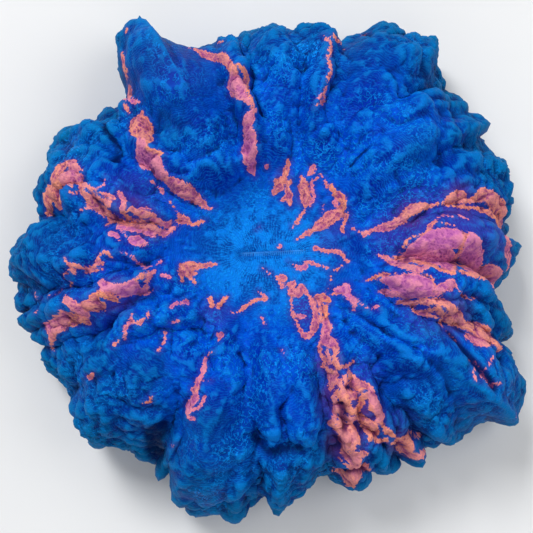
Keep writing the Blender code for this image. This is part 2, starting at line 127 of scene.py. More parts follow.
# The lobes on them: x, y, half length, half width, heading, height, lean towards the heading.
LOBES = [
    # north: the column of lumps that runs in to the mouth, and the folded ridge beside it
    (1.0, 24.5, 6.5, 4.0, 95, 4.5, 0.2), (1.0, 32.5, 5.0, 4.6, 90, 6.5, 0.0),
    (0.0, 40.5, 7.5, 5.8, 90, 6.5, 0.0), (-2.0, 49.5, 6.5, 6.0, 0, 4.5, 0.0),
    (-5.0, 25.5, 8.0, 3.0, 92, 6.0, 0.2), (-8.0, 37.5, 7.0, 3.2, -65, 7.5, 0.0),
    (-13.5, 45.0, 7.0, 3.4, -32, 6.0, 0.0),
    (9.5, 31.0, 10.0, 3.8, 97, 7.0, 0.1), (8.5, 44.0, 8.5, 5.0, 100, 6.5, 0.0),
    (6.0, 52.0, 6.5, 5.0, 0, 4.0, 0.0), (13.5, 52.0, 5.5, 4.6, 20, 4.0, 0.0),
    (12.5, 22.5, 6.0, 3.6, 70, 4.5, 0.2),
    # north-east
    (22.0, 42.5, 9.5, 8.5, 40, 8.0, 0.0), (19.5, 31.0, 6.8, 6.4, 60, 7.5, 0.0),
    (19.0, 51.5, 6.5, 4.4, -5, 4.5, 0.0), (28.0, 52.0, 7.0, 6.2, 0, 5.0, 0.0),
    (37.5, 47.5, 6.5, 5.2, -40, 4.8, 0.0), (33.5, 42.5, 6.5, 5.0, 60, 6.5, 0.0),
    (41.5, 40.0, 6.0, 4.0, -55, 3.6, 0.0), (34.5, 32.0, 6.0, 5.2, 20, 6.5, 0.0),
    (46.0, 32.5, 6.0, 4.2, -25, 5.0, 0.0), (43.5, 25.5, 6.5, 5.2, 10, 5.6, 0.0),
    (51.0, 25.0, 5.6, 4.8, 80, 4.0, 0.0), (27.5, 27.0, 6.0, 5.5, 30, 7.0, 0.0),
    (25.0, 18.5, 7.5, 6.5, 30, 7.5, 0.1), (36.5, 23.0, 7.0, 5.8, 50, 7.0, 0.0),
    (21.0, 11.5, 6.5, 5.4, 40, 5.5, 0.2), (29.5, 12.5, 5.8, 4.6, 30, 6.5, 0.0),
    (37.0, 15.5, 6.5, 4.2, 60, 6.5, 0.0), (46.0, 18.0, 8.5, 5.6, 20, 6.5, 0.0),
    (53.0, 17.0, 5.5, 5.0, 60, 4.0, 0.0),
    # east: a broad folded lobe under a raised upper edge
    (26.5, 7.6, 6.5, 2.4, 28, 5.6, 0.1), (36.5, 11.0, 7.5, 2.8, 14, 7.0, 0.0),
    (47.5, 12.0, 8.0, 3.4, 0, 6.2, 0.0), (55.0, 8.0, 4.5, 4.5, -60, 3.8, 0.0),
    (27.5, 2.2, 8.5, 3.8, 10, 5.0, 0.1), (37.5, 1.0, 9.5, 5.2, 0, 8.0, 0.1),
    (48.0, -0.5, 7.5, 6.4, -20, 6.8, 0.0), (55.5, 0.5, 4.0, 6.0, 0, 3.4, 0.0),
    (30.0, -6.3, 9.0, 3.6, -8, 6.6, 0.0), (39.5, -7.6, 6.0, 3.4, -15, 5.6, 0.0),
    (48.5, -11.5, 7.5, 5.2, -30, 5.2, 0.0), (34.0, -11.8, 6.0, 2.6, -32, 6.2, 0.0),
    (41.0, -15.3, 6.0, 2.8, -28, 6.4, 0.0), (48.0, -18.3, 6.5, 3.8, -25, 6.0, 0.0),
    (20.0, 0.5, 6.0, 3.6, 0, 2.6, 0.3),
    # south-east: the large smooth fan that runs out to the point
    (17.5, -8.5, 5.0, 3.6, -20, 4.0, 0.2), (22.5, -11.5, 5.0, 3.8, -20, 5.0, 0.0),
    (27.0, -14.5, 5.6, 4.2, -30, 5.8, 0.0), (18.5, -19.0, 4.8, 4.4, 0, 5.5, 0.0),
    (25.5, -22.5, 6.2, 4.8, -40, 7.0, 0.0), (33.5, -20.0, 7.0, 4.6, -25, 7.0, 0.0),
    (40.5, -25.5, 10.0, 6.5, -25, 8.5, 0.0), (32.0, -30.5, 10.0, 4.6, -55, 6.8, 0.0),
    (49.0, -28.0, 8.5, 7.0, -40, 6.5, 0.0), (41.0, -35.0, 9.0, 5.0, -40, 6.0, 0.0),
    (51.5, -34.5, 8.0, 4.6, -10, 4.6, 0.0), (54.0, -24.5, 5.5, 6.0, 0, 4.0, 0.0),
    (37.5, -41.0, 6.0, 4.2, -30, 4.0, 0.0),
    # south: narrow fingers that run straight out from the mouth
    (8.2, -13.5, 6.5, 3.2, -76, 4.2, 0.1), (13.2, -20.5, 7.5, 3.0, -83, 6.2, 0.0),
    (14.0, -28.5, 5.0, 2.6, -88, 6.8, 0.0), (19.0, -28.5, 6.0, 3.2, -62, 7.0, 0.0),
    (24.0, -34.0, 5.5, 3.6, -60, 6.4, 0.0), (14.5, -37.0, 6.0, 3.4, -75, 6.4, 0.0),
    (20.0, -38.5, 6.0, 3.0, -62, 5.6, 0.0), (17.5, -45.5, 6.5, 4.2, -80, 4.8, 0.0),
    (25.5, -43.0, 5.5, 3.8, -30, 4.2, 0.0), (32.0, -42.5, 5.0, 3.6, -30, 4.2, 0.0),
    (6.2, -27.0, 11.5, 3.6, -88, 6.6, 0.0), (-1.0, -24.5, 13.5, 4.4, -91, 6.4, 0.1),
    (8.0, -41.0, 7.5, 5.4, -80, 5.6, 0.0), (0.5, -43.0, 7.5, 5.2, -85, 5.8, 0.0),
    (9.0, -48.5, 6.5, 4.6, -20, 3.6, 0.0), (2.0, -52.5, 5.5, 3.6, -88, 3.8, 0.0),
    # south-west: a smooth swollen tongue over a lumpy skirt
    (-8.5, -19.0, 9.5, 4.6, -85, 5.6, 0.1), (-10.0, -33.0, 9.5, 6.6, -88, 7.4, 0.0),
    (-13.0, -43.5, 10.0, 8.2, -100, 7.6, 0.0), (-9.5, -51.5, 6.5, 5.6, -20, 4.6, 0.0),
    (-19.5, -50.5, 6.0, 5.2, 60, 4.8, 0.0), (-15.5, -55.0, 4.4, 3.6, -70, 2.6, 0.0),
    (-16.5, -23.0, 7.5, 3.8, -70, 6.2, 0.0), (-23.0, -32.5, 7.0, 4.4, 78, 7.0, 0.0),
    (-32.5, -31.5, 8.4, 8.0, 0, 7.8, 0.0), (-33.0, -21.0, 8.0, 4.6, 10, 7.0, 0.0),
    (-24.0, -24.0, 5.5, 4.4, -40, 6.4, 0.0), (-41.0, -22.0, 6.2, 5.6, 30, 5.8, 0.0),
    (-42.5, -31.0, 6.0, 5.4, 40, 4.6, 0.0), (-36.0, -39.0, 6.5, 4.2, -30, 3.8, 0.0),
    (-27.5, -41.5, 6.5, 4.4, -25, 4.6, 0.0), (-48.0, -23.0, 5.0, 5.0, 0, 3.6, 0.0),
    # west: folds that run in to the disc between swollen cushions
    (-47.5, -14.6, 6.5, 3.8, 18, 5.8, 0.0), (-38.5, -10.3, 6.5, 3.6, 25, 7.0, 0.0),
    (-30.0, -7.0, 6.5, 3.4, 18, 7.0, 0.0), (-27.0, -15.0, 5.0, 3.9, 20, 6.2, 0.0),
    (-19.5, -13.0, 5.0, 3.8, 30, 5.2, 0.0), (-13.0, -11.5, 4.4, 3.0, 0, 3.2, 0.0),
    (-21.5, -6.0, 5.0, 3.2, 10, 4.2, 0.2), (-46.0, 0.5, 8.2, 7.8, 0, 7.2, 0.0),
    (-36.0, -2.5, 5.6, 3.8, -10, 6.2, 0.0), (-28.0, 1.2, 7.6, 4.0, 0, 6.2, 0.1),
    (-27.5, 8.4, 9.0, 3.2, -10, 6.8, 0.0), (-38.0, 8.6, 5.6, 4.0, -35, 6.4, 0.0),
    (-31.0, 14.5, 6.2, 4.2, -30, 6.6, 0.0), (-54.0, -5.0, 5.6, 5.6, 0, 4.0, 0.0),
    (-54.0, 4.5, 5.5, 5.0, 0, 4.0, 0.0), (-53.0, -12.5, 5.0, 4.4, 30, 3.8, 0.0),
    (-47.5, 12.5, 6.8, 4.6, 60, 5.6, 0.0), (-39.5, 17.0, 6.0, 4.8, 20, 6.4, 0.0),
    # north-west: the tall mound that runs out to the horn
    (-45.5, 21.5, 6.0, 5.4, 40, 4.8, 0.0), (-42.5, 29.0, 6.2, 4.8, 40, 4.2, 0.0),
    (-34.5, 25.0, 6.0, 4.6, 30, 6.4, 0.0), (-35.5, 33.5, 5.0, 4.2, 40, 4.8, 0.0),
    (-28.0, 27.5, 4.8, 4.4, 90, 6.6, 0.0), (-26.0, 20.5, 6.0, 3.6, -45, 6.6, 0.0),
    (-19.5, 14.6, 7.5, 3.0, -35, 5.6, 0.1), (-12.0, 17.5, 8.5, 4.6, 32, 6.2, 0.0),
    (-16.5, 24.0, 8.0, 5.0, 40, 7.4, 0.0), (-19.5, 36.0, 13.0, 12.0, 120, 9.6, 0.0),
    (-27.5, 46.5, 10.5, 6.4, 118, 6.6, 0.0), (-30.5, 53.0, 5.5, 3.6, 112, 3.8, 0.0),
]

# Clefts between the lobes, sunk into the flesh and darkened with painted shade: half width, depth, then the
# run of x, y.
CLEFTS = [
    (0.7, 1.6, [(-7.3, 40.8), (-4.2, 38.8), (-3.6, 36), (-4, 33.6), (-3, 31.2), (-2.1, 28.6)]),
    (0.8, 1.5, [(-33.5, 31), (-34, 28), (-33, 25), (-31.5, 21.5), (-31.5, 18)]),
    (0.6, 0.7, [(-22, 20), (-20, 20.4), (-18, 21)]),
    (0.6, 0.7, [(-21, 16.4), (-19.5, 16.2), (-18, 16.4)]),
    (0.5, 1.2, [(-17.4, 11.2), (-16.4, 10.4)]),
    (0.6, 1.4, [(-33.6, 9.8), (-33.2, 8)]),
    (0.5, 1.2, [(20.4, 21.4), (18.8, 20.2), (17.6, 18.8)]),
    (1.1, 0.7, [(22, 29.4), (24, 27.2), (26, 25.3), (29.5, 26.4)]),
    (1.1, 0.9, [(31, 39), (34, 37), (31.6, 35.4), (30.4, 33), (31.4, 30.6), (34.6, 31), (38, 32)]),
    (1.0, 1.0, [(36, 42.4), (38, 40.6), (40.4, 39.8), (44, 36)]),
    (0.7, 1.5, [(20, 47), (21.8, 44), (24.4, 43.4), (27.4, 44.6), (30, 47.5)]),
    (0.7, 1.4, [(43.6, 22), (42.4, 18.5)]),
    (1.1, 1.2, [(-3.6, -37.6), (-1.6, -39.4), (0.8, -39.6), (2.4, -38.6), (5.6, -37.6)]),
    (0.6, 1.2, [(-5.4, -24.4), (-7, -22)]),
    (0.6, 1.3, [(14.8, -27.4), (15.8, -27.8)]),
    (0.8, 1.8, [(13.6, -30.2), (14.2, -32.4), (14.2, -34.8)]),
    (0.8, 1.6, [(15.8, -43.4), (17.4, -42.6), (19.2, -42.2)]),
    (0.7, 1.4, [(22.2, -37.4), (22.9, -38.2)]),
    (0.7, 1.4, [(33, -42.4), (34.2, -42.8)]),
    (0.6, 1.4, [(19.3, -34.6), (20.2, -35.2)]),
    (1.0, 1.6, [(36.6, -17.2), (38.3, -20.6), (40.2, -23.4), (41.8, -25.8)]),
    (1.6, 2.4, [(-22, -34), (-22.6, -37), (-23.4, -41)]),
]

# Where the flesh lies smooth: x, y, radius, how smooth.
SMOOTH_PATCHES = [
    (-19, 39, 12, 0.8), (-11, -36, 8, 0.75), (-14, -45, 6, 0.7), (38, -24, 7, 0.6), (46, -31, 7, 0.6),
    (35, 1, 6, 0.6), (45, 3, 6, 0.6), (-46, 1, 8, 0.5), (30, -8, 5, 0.5), (20, 43, 6, 0.4),
    (-1, -27, 7, 0.6), (6, -30, 4, 0.5), (-42, -12, 7, 0.4), (27, 22, 7, 0.5), (34, 30, 6, 0.4),
    (20, 33, 6, 0.4),
]

# Fine lumps: spacing, height near the disc and height at the rim.
FINE_LUMPS = [(4.6, 0.15, 0.85), (2.4, 0.10, 0.28)]
FINE_COARSER = (0.15, 0.95)  # how far out the heights change over
FINE_START = (0.1, 0.3)      # how far out the fine lumps start
FINE_SINK = 0.6              # how far they are let into the flesh, as a share of their height
FINE_SHIFT = 31.0            # in spacings, so that the two sizes don't line up
VALLEY_FILL = 0.4            # how much of the depth of the broad valleys fills up
VALLEY_ROUNDS = 120          # rounds of blurring that find them
CREST_PUFF = 0.55            # how far the crests swell further
CREST_ROUNDS = 12
CREST_MOST = 0.6             # height of crest from which they swell no more

# Ribbons of orange, salmon and mauve flesh: how pink each is, then its run of x, y, half width.
RIBBONS = [
    # north: the long ribbon on the crest beside the horn's mound, and the thin one east of it
    (0.1, [(-19, 46.3, 0.2), (-18, 46.1, 0.2)]),
    (0.2, [(-17, 46, 0.5), (-15, 44.7, 0.9), (-13.3, 43.6, 1), (-11.5, 43.1, 1.1), (-10.1, 41.8, 1),
     (-9.2, 40.2, 0.7), (-8, 38.7, 0.9)]),
    (0.7, [(-8.2, 37.8, 0.8), (-7.8, 36.4, 1.7), (-7.3, 34.8, 1.8), (-7, 33.4, 1), (-6, 32.5, 1),
     (-4.6, 31, 0.7), (-3.8, 29.8, 0.6)]),
    (0.0, [(-7.2, 39.7, 0.4), (-5.6, 38.8, 0.6), (-5.3, 37, 0.5), (-5.5, 34.8, 0.5), (-4.2, 31.6, 0.4)]),
    (0.7, [(-4.4, 29.4, 0.6), (-5, 28, 1.2), (-5.1, 26.2, 1), (-4.6, 24.4, 1.3), (-4.7, 22.4, 1.7),
     (-4.7, 20.4, 1.6), (-4.1, 18.6, 0.9), (-3.5, 17.3, 0.35)]),
    (0.1, [(-11.5, 48.6, 0.35), (-10.8, 47.8, 0.2)]),
    (0.8, [(-0.9, 19.3, 0.4), (-0.6, 18.9, 0.2)]),
    (0.4, [(11.7, 49, 0.2), (12.3, 47.4, 0.3), (13.2, 46.8, 0.3)]),
    (0.1, [(13.6, 48.3, 0.35), (14.8, 47.6, 0.5), (17.3, 47.2, 0.15)]),
    (0.4, [(13.3, 47, 0.3), (13.2, 45, 0.4), (12.5, 42.5, 0.45), (12.7, 41, 0.5), (13.2, 39, 0.3),
     (12.3, 37.4, 0.2), (11.6, 34.8, 0.3), (11.5, 33, 0.4), (10.8, 31.7, 0.3), (9.3, 31, 0.2)]),
    (0.9, [(10.7, 33.8, 0.2), (10, 32.6, 0.25)]),
    (0.1, [(22, 52.6, 0.3), (23.2, 53, 0.25)]),
    # north-west: dabs on the horn, and the broad ribbon down to the disc
    (0.2, [(-32.4, 51.5, 0.35), (-32.6, 50.6, 0.2)]),
    (0.2, [(-33.6, 46, 0.5), (-33.2, 43, 0.5), (-32.2, 40.4, 0.4)]),
    (0.3, [(-32.6, 38.6, 0.7), (-32.2, 37.2, 1.1), (-31.4, 35.6, 0.5)]),
    (0.8, [(-35, 35, 0.3), (-33.6, 35.2, 0.35), (-31.8, 34.4, 0.4), (-30, 33.6, 0.7), (-29.2, 33.4, 0.3)]),
    (0.2, [(-32.2, 33, 0.5), (-31.8, 31.8, 0.6)]),
    (0.1, [(-28.4, 30.8, 0.25), (-28.6, 29.5, 0.7), (-29, 28, 2.5), (-28.2, 26.6, 2.6), (-27.2, 25, 1.5),
     (-26.6, 23.8, 1.2)]),
    (0.0, [(-27.9, 23.6, 0.5), (-27.4, 22.2, 0.6), (-26, 21, 0.6), (-23.2, 20.5, 0.4)]),
    (0.7, [(-27.8, 23, 1.2), (-28, 21, 1.6), (-26.7, 19.6, 2.1), (-25, 18.7, 1.8), (-24.3, 17, 1.3),
     (-23.2, 16, 0.9)]),
    (0.4, [(-23.2, 15.7, 0.6), (-21.4, 14.5, 1.2), (-19.7, 13.6, 1.5), (-18.1, 12.9, 1.4),
     (-16.8, 12.1, 1.1), (-15.5, 11.3, 0.9), (-14.7, 10.5, 0.6), (-13.5, 9.9, 0.3), (-12.3, 10.3, 0.15)]),
    (0.6, [(-26, 15.3, 0.2), (-24, 13.6, 0.25), (-23.2, 12, 0.15)]),
    (0.2, [(-22.3, 11.2, 0.2), (-20.7, 9.3, 0.25), (-20.2, 8.2, 0.25)]),
    # west: the broad patch on the rim and the frayed ribbon that runs in from it
    (0.1, [(-51, 10, 0.6), (-49.8, 10.6, 1.3), (-49.6, 13.2, 1.6), (-49, 14.4, 1.3)]),
    (0.1, [(-46.8, 11, 1), (-47.4, 13, 1.8), (-47.1, 16, 1.6), (-46.5, 18.2, 1.2), (-44.8, 19.7, 1)]),
    (0.4, [(-44.8, 19.7, 0.9), (-43.4, 19.4, 1.1), (-42.6, 18, 1), (-41, 17.6, 0.35)]),
    (0.5, [(-45.4, 16, 1.5), (-43.6, 16.4, 1.4), (-42, 15.8, 1.1), (-41, 16.2, 0.4)]),
    (0.4, [(-37.8, 11.2, 0.5), (-36, 10.4, 0.6), (-34.4, 9.2, 0.6)]),
    (0.3, [(-44.9, 14.8, 0.5), (-44.4, 13.6, 0.3)]),
    (0.3, [(-43.4, 14.9, 0.6), (-43, 13.8, 0.3)]),
    (0.4, [(-43.6, 12.6, 0.15), (-42.6, 11.8, 0.3), (-41.9, 12.3, 0.15)]),
    (0.2, [(-42, 16, 0.5), (-41.2, 13.6, 0.5), (-39.8, 11.4, 0.6), (-38.4, 10, 1.1), (-36.8, 9.2, 0.9),
     (-35.2, 7.8, 0.7), (-33.8, 6.9, 0.6)]),
    (0.4, [(-41.2, 15.2, 0.5), (-40.1, 13.7, 0.6), (-37.8, 12.3, 0.2), (-36.2, 11.7, 0.35),
     (-34.5, 11, 0.35), (-33.2, 10.4, 0.2)]),
    (1.0, [(-37.8, 12.4, 0.15), (-35.7, 13.3, 0.2), (-35.7, 14.4, 0.25), (-35.6, 15.6, 0.1)]),
    (0.6, [(-33, 12.6, 0.15), (-31.9, 11.2, 0.5), (-31.3, 9.7, 0.6), (-31.5, 8.4, 0.5)]),
    (0.1, [(-31.5, 7.5, 0.5), (-30.4, 6.7, 0.5)]),
    (0.3, [(-30, 8.4, 0.5), (-28.7, 7.7, 0.7), (-27, 7.4, 0.7), (-25, 7.6, 0.5)]),
    (0.9, [(-28, 8.6, 0.25), (-26.8, 8.9, 0.2), (-25.6, 8.6, 0.25)]),
    (0.2, [(-35.3, 5.3, 0.3), (-34.6, 6.1, 0.5), (-33.4, 6.5, 0.5), (-30.4, 5.7, 0.7), (-27.4, 5.4, 0.9),
     (-25.5, 4.8, 1.1)]),
    (0.5, [(-25.5, 4.6, 1), (-23.7, 4, 0.8), (-22.2, 4.3, 0.7), (-21.3, 5.3, 0.6)]),
    (0.5, [(-25.4, 6.6, 0.6), (-24.2, 6.2, 0.7), (-22.8, 5.7, 0.6), (-21.9, 6.4, 0.25)]),
    (0.9, [(-33, 4.9, 0.4), (-31.2, 4.7, 0.5), (-27.4, 4, 0.6), (-25.4, 3.2, 0.5)]),
    (1.0, [(-34.2, 3.2, 0.5), (-32.8, 2.8, 0.7), (-32.4, 1.8, 0.3)]),
    (1.0, [(-32, 4.1, 0.25), (-31.2, 2.7, 0.25)]),
    (1.0, [(-29.6, 1.7, 1.1), (-28.6, 1.8, 1.3), (-27.5, 1.6, 0.8), (-26.4, 1.5, 0.2)]),
    (1.0, [(-32.4, -0.6, 0.15), (-30, -1.5, 0.3), (-28.6, -2.7, 0.3), (-27, -4, 0.25), (-25.2, -3.2, 0.15),
     (-24, -2.3, 0.45)]),
    (0.3, [(-43.8, -2.4, 0.25), (-42.4, -3.7, 0.35), (-41.8, -5.2, 0.4)]),
    (0.3, [(-42, -3.4, 0.25), (-39.8, -4.3, 0.45), (-38.2, -4, 0.5), (-36.9, -3.4, 0.45),
     (-36.8, -1.6, 0.4), (-35.6, -0.7, 0.4), (-34.5, -1.1, 0.45), (-33.9, -2, 0.25)]),
    (0.2, [(-39.6, -5, 0.2), (-36, -4.3, 0.25), (-35.9, -3.1, 0.15)]),
    (0.2, [(-42.6, -4.4, 0.15), (-44.5, -5.9, 0.25)]),
    (0.2, [(-43, -7.2, 0.3), (-43.3, -7.9, 0.1)]),
    (0.5, [(-40.9, 8.3, 0.15), (-39, 8.8, 0.2), (-36.8, 8, 0.2), (-36, 7.1, 0.2)]),
    (0.1, [(-19.9, 7.8, 0.5), (-19.2, 7.2, 0.8), (-18, 6.9, 0.6), (-17.3, 6.3, 0.3), (-16.2, 6.6, 0.6),
     (-15.3, 7, 0.4), (-14.1, 7.4, 0.12)]),
    (0.2, [(-20.6, 6.6, 0.35), (-19.4, 6.9, 0.6)]),
    # south-west: the long folded ribbon and the dabs south of it
    (0.5, [(-49.6, -15.9, 0.7), (-47.8, -16.6, 1.6), (-46, -15.8, 1.9), (-44.4, -14.8, 1.7)]),
    (0.3, [(-47.6, -17.6, 1), (-48.4, -19, 0.7), (-48.9, -20.4, 0.5), (-48.6, -21.4, 0.2)]),
    (0.5, [(-44, -9.7, 0.3), (-43.4, -11, 0.8), (-42, -12.2, 1.1), (-40.6, -13.2, 1.1),
     (-39.2, -14, 0.6)]),
    (0.0, [(-43.2, -14.2, 1), (-41.4, -14.8, 1), (-40, -15, 0.7), (-39.1, -15.7, 0.35)]),
    (0.0, [(-43.6, -15.6, 0.7), (-41.8, -16, 0.3)]),
    (0.2, [(-39.4, -12.2, 1), (-37.4, -12.2, 1.3), (-35.8, -12, 0.9)]),
    (0.0, [(-37.2, -10.6, 1.1), (-36.4, -9.8, 0.7), (-34.6, -10.2, 0.8), (-32.6, -11, 0.5)]),
    (0.9, [(-36, -7.2, 0.6), (-35.2, -8.4, 1), (-33.8, -8.4, 1.1), (-32.4, -9, 1.1), (-31, -9.2, 1.2),
     (-29.8, -8.4, 1.5), (-29.1, -7.6, 1)]),
    (0.3, [(-28.7, -6.8, 0.35), (-27.5, -5.4, 0.4), (-27.1, -6.4, 0.3)]),
    (0.5, [(-28.7, -8, 0.6), (-28.2, -9, 0.7), (-27.2, -8.6, 0.5), (-26.6, -7.2, 0.7), (-26, -5.4, 0.6),
     (-25, -4.4, 0.45)]),
    (0.8, [(-24.8, -8.3, 0.15), (-27, -9.3, 0.25)]),
    (1.0, [(-23.3, -5.2, 0.4), (-21.8, -5.8, 0.3)]),
    (1.0, [(-21.3, -12.4, 0.2), (-20.6, -11.4, 0.5), (-19.4, -11.4, 0.35), (-18.2, -10.8, 0.45),
     (-17.9, -11.6, 0.2)]),
    (0.6, [(-31, -19, 0.2), (-30.8, -17, 0.4), (-29.6, -15.6, 0.4), (-29.4, -14.2, 0.25)]),
    (0.4, [(-29.4, -15.6, 0.35), (-28.2, -16, 0.3), (-26.3, -14.6, 0.35), (-26, -13.3, 0.2)]),
    (0.2, [(-33.3, -20.4, 0.4), (-32.3, -19.5, 0.12)]),
    (0.4, [(-22.6, -17.7, 0.2), (-22.6, -19.3, 0.2), (-23.8, -21.6, 0.22)]),
    (0.3, [(-39.8, -27, 0.25), (-38.6, -27.3, 0.4), (-37.8, -26.4, 0.15)]),
    (0.1, [(-25.1, -31.3, 0.4), (-25.6, -32.2, 0.25), (-26.8, -32.6, 0.25)]),
    (0.5, [(-52.2, -13.3, 0.15), (-51.4, -12.7, 0.3)]),
    (0.4, [(-53, -8.2, 0.12), (-52.6, -9.6, 0.15), (-50.8, -9.8, 0.12)]),
    (0.4, [(-48.8, -9.7, 0.2), (-47, -9.3, 0.25), (-45.2, -8.2, 0.15)]),
    # disc
    (0.1, [(-19.8, -2.6, 0.5), (-18.7, -3.5, 1.4), (-17, -2.9, 1), (-15.4, -2.7, 0.7), (-13.8, -2.5, 0.5),
     (-12.2, -2.4, 0.25)]),
    (0.1, [(-18.4, -4.4, 1), (-17.6, -5.6, 0.5), (-16.7, -6.5, 0.4)]),
    (0.1, [(-19.4, -4.9, 0.5), (-19.3, -6.3, 0.35)]),
    (0.1, [(-17, -4.6, 0.4), (-16, -4.6, 0.2)]),
    (0.1, [(-13.1, -10, 0.6), (-12.8, -11.6, 0.7)]),
    (0.1, [(-9.1, -9.5, 0.2), (-10.2, -10.3, 0.5), (-11.2, -11.5, 0.7)]),
    (0.1, [(-8.8, -12.8, 0.2), (-7.9, -13.4, 0.25), (-6.4, -12.6, 0.2)]),
    (0.1, [(-5.9, -12, 0.3), (-4.9, -11.4, 0.5), (-2.8, -10.1, 0.35), (-0.8, -10.1, 0.3)]),
    (0.4, [(-2.6, -8.5, 0.35), (-0.9, -9.5, 0.3)]),
    (0.1, [(4.1, 20.3, 0.45), (3.8, 18.6, 0.6), (3, 17, 0.8), (2, 15.4, 1.1), (1.1, 13.8, 0.6)]),
    (0.2, [(0.7, 16.3, 0.3), (2, 16.2, 0.5)]),
    (0.2, [(3.2, 15.8, 0.5), (4.2, 16, 0.5), (3.9, 14.6, 0.35), (4.2, 13, 0.8), (4.4, 11.6, 0.6),
     (4.5, 10.7, 0.25)]),
    (0.2, [(3.9, 12.7, 0.5), (2.7, 12.3, 0.35)]),
    (0.4, [(9.4, 19.2, 0.5), (9.1, 18, 0.7), (8.4, 17.5, 0.4)]),
    (0.2, [(7.2, 16.8, 0.5), (7.5, 15, 1.1), (7.8, 13, 1.35), (8.1, 11.3, 0.7), (7.7, 9.8, 0.35),
     (7, 8.8, 0.35), (6, 7.2, 0.35)]),
    (0.6, [(9.3, 16.6, 0.3), (9.4, 14.6, 0.3), (10, 12.8, 0.35), (8.8, 11.2, 0.35)]),
    (0.4, [(10, 16.6, 0.2), (11.2, 17.4, 0.3), (12, 16.6, 0.35), (12.6, 15, 0.3)]),
    (0.0, [(13.8, 14.8, 0.6), (14.4, 13.5, 0.7), (15.6, 12.6, 0.9), (16.4, 10.8, 0.7), (15.8, 9.6, 0.8)]),
    (0.6, [(14.3, 11.5, 0.7), (14.9, 10.6, 0.5)]),
    (0.2, [(15.2, 8.9, 1.3), (13.2, 8, 1.6), (11.6, 6.8, 1.3), (9.8, 5.5, 0.8), (8, 4.6, 0.4),
     (5.9, 3.3, 0.2)]),
    (0.5, [(11.7, 9.2, 0.3), (12, 11, 0.2)]),
    (0.1, [(17.2, 9, 0.35), (16.8, 7.3, 0.3), (15.9, 5.4, 0.3), (16.9, 4.1, 0.15)]),
    (0.7, [(2.2, 1.7, 0.4), (2.5, 1.4, 0.2)]),
    (0.6, [(5, 6.5, 0.2), (5, 6, 0.15)]),
    (0.6, [(-3.2, 5.5, 0.1), (-2.3, 6.2, 0.15)]),
    (0.3, [(10.2, 1.4, 0.4), (12, 0.9, 0.5), (15, 0.6, 0.4), (16.2, -0.6, 0.45), (17, -1.6, 0.3)]),
    (0.7, [(5, -2.2, 0.3), (6.4, -3, 0.65), (7.7, -2.8, 0.6)]),
    (0.4, [(7.6, -1.7, 0.3), (8.6, -1.6, 0.3), (10.8, -2.5, 0.25), (12.8, -3.1, 0.2)]),
    (0.6, [(-1.6, -3.2, 0.35), (-0.4, -4.2, 0.45), (0.6, -4.4, 0.2)]),
    (0.5, [(4.2, -1.6, 0.15), (4.5, -2.2, 0.15)]),
    (0.1, [(13.5, -3.8, 0.2), (15, -3.5, 0.25), (15.9, -2.7, 0.25)]),
    (0.0, [(13.5, -4.4, 0.12), (13.5, -7, 0.15), (12.7, -8.2, 0.15)]),
    # south-east: the ring round a dark cushion, then the folds down to the rim
    (0.3, [(1.6, -5.5, 0.5), (3, -5.4, 0.8)]),
    (0.4, [(2, -6, 0.3), (2.7, -7.4, 0.4)]),
    (0.3, [(3.6, -6.8, 0.4), (5.2, -6.7, 0.7), (4.8, -8.6, 0.9), (6.2, -8.4, 1.2), (7, -7.2, 0.6)]),
    (0.3, [(7.2, -7.4, 0.5), (8.6, -9.4, 0.5), (9.7, -11.6, 0.75), (9.9, -14.2, 0.5), (9.6, -16.4, 0.9),
     (8.3, -18.4, 0.5), (7, -18.2, 0.5), (6.2, -16.4, 0.3), (5.1, -14, 0.4), (4.7, -11, 0.2),
     (4.7, -9, 0.4)]),
    (0.2, [(10.9, -10.6, 0.4), (11.1, -13, 0.4), (11, -15, 0.4)]),
    (0.6, [(5.4, -13.8, 0.5), (7.1, -14.2, 0.5)]),
    (0.0, [(10.5, -9.6, 0.5), (11.6, -9.7, 0.9), (13.2, -10.6, 0.5)]),
    (0.1, [(13.4, -9, 0.2), (15, -8.8, 0.3)]),
    (0.0, [(12.1, -11.6, 0.5), (12.4, -13.4, 0.7), (12, -14.8, 0.7)]),
    (0.5, [(12, -15, 0.8), (12.6, -16.4, 0.9), (11.6, -17.6, 1), (12.2, -19.2, 1.3), (13.4, -20, 1)]),
    (0.2, [(13.8, -21, 0.7), (13.3, -22.6, 0.4), (13.5, -24, 0.6), (14.4, -25.2, 0.6)]),
    (0.2, [(10.4, -20.2, 0.35), (10.6, -22.3, 0.3), (11.5, -23.8, 0.4), (11.3, -25, 0.35),
     (12.6, -26, 0.6)]),
    (0.6, [(12, -21.6, 0.4), (12.5, -24.2, 0.5)]),
    (0.3, [(13.1, -26.8, 1.1), (13, -28.4, 0.9), (12.9, -29.6, 0.35)]),
    (0.3, [(14.6, -25.2, 0.5), (16.3, -24.8, 0.4), (17.6, -23.9, 0.25)]),
    (0.2, [(16.5, -26.4, 0.5), (17.2, -27.4, 0.8), (18.2, -28.2, 0.7), (19.6, -28.6, 0.35)]),
    (0.1, [(17, -29.2, 0.6), (19, -29.4, 0.7), (20.6, -28.8, 0.4)]),
    (0.5, [(20.8, -29.4, 0.5), (21, -30.6, 0.9), (21.6, -32.2, 1), (22.4, -33.8, 1.1), (23.1, -35.4, 1.1),
     (22.4, -36.6, 0.4)]),
    (0.1, [(14, -30.4, 0.5), (14.8, -31.8, 0.6), (15.8, -31.4, 0.8), (16, -33.2, 0.8), (16.8, -34.5, 0.7),
     (18.3, -34.2, 0.7), (19, -32.6, 0.7), (19.4, -31.2, 0.7)]),
    (0.3, [(15.4, -29.8, 0.5), (17.2, -31, 0.9)]),
    (0.1, [(20.6, -33.4, 0.5), (21.1, -34.4, 0.3)]),
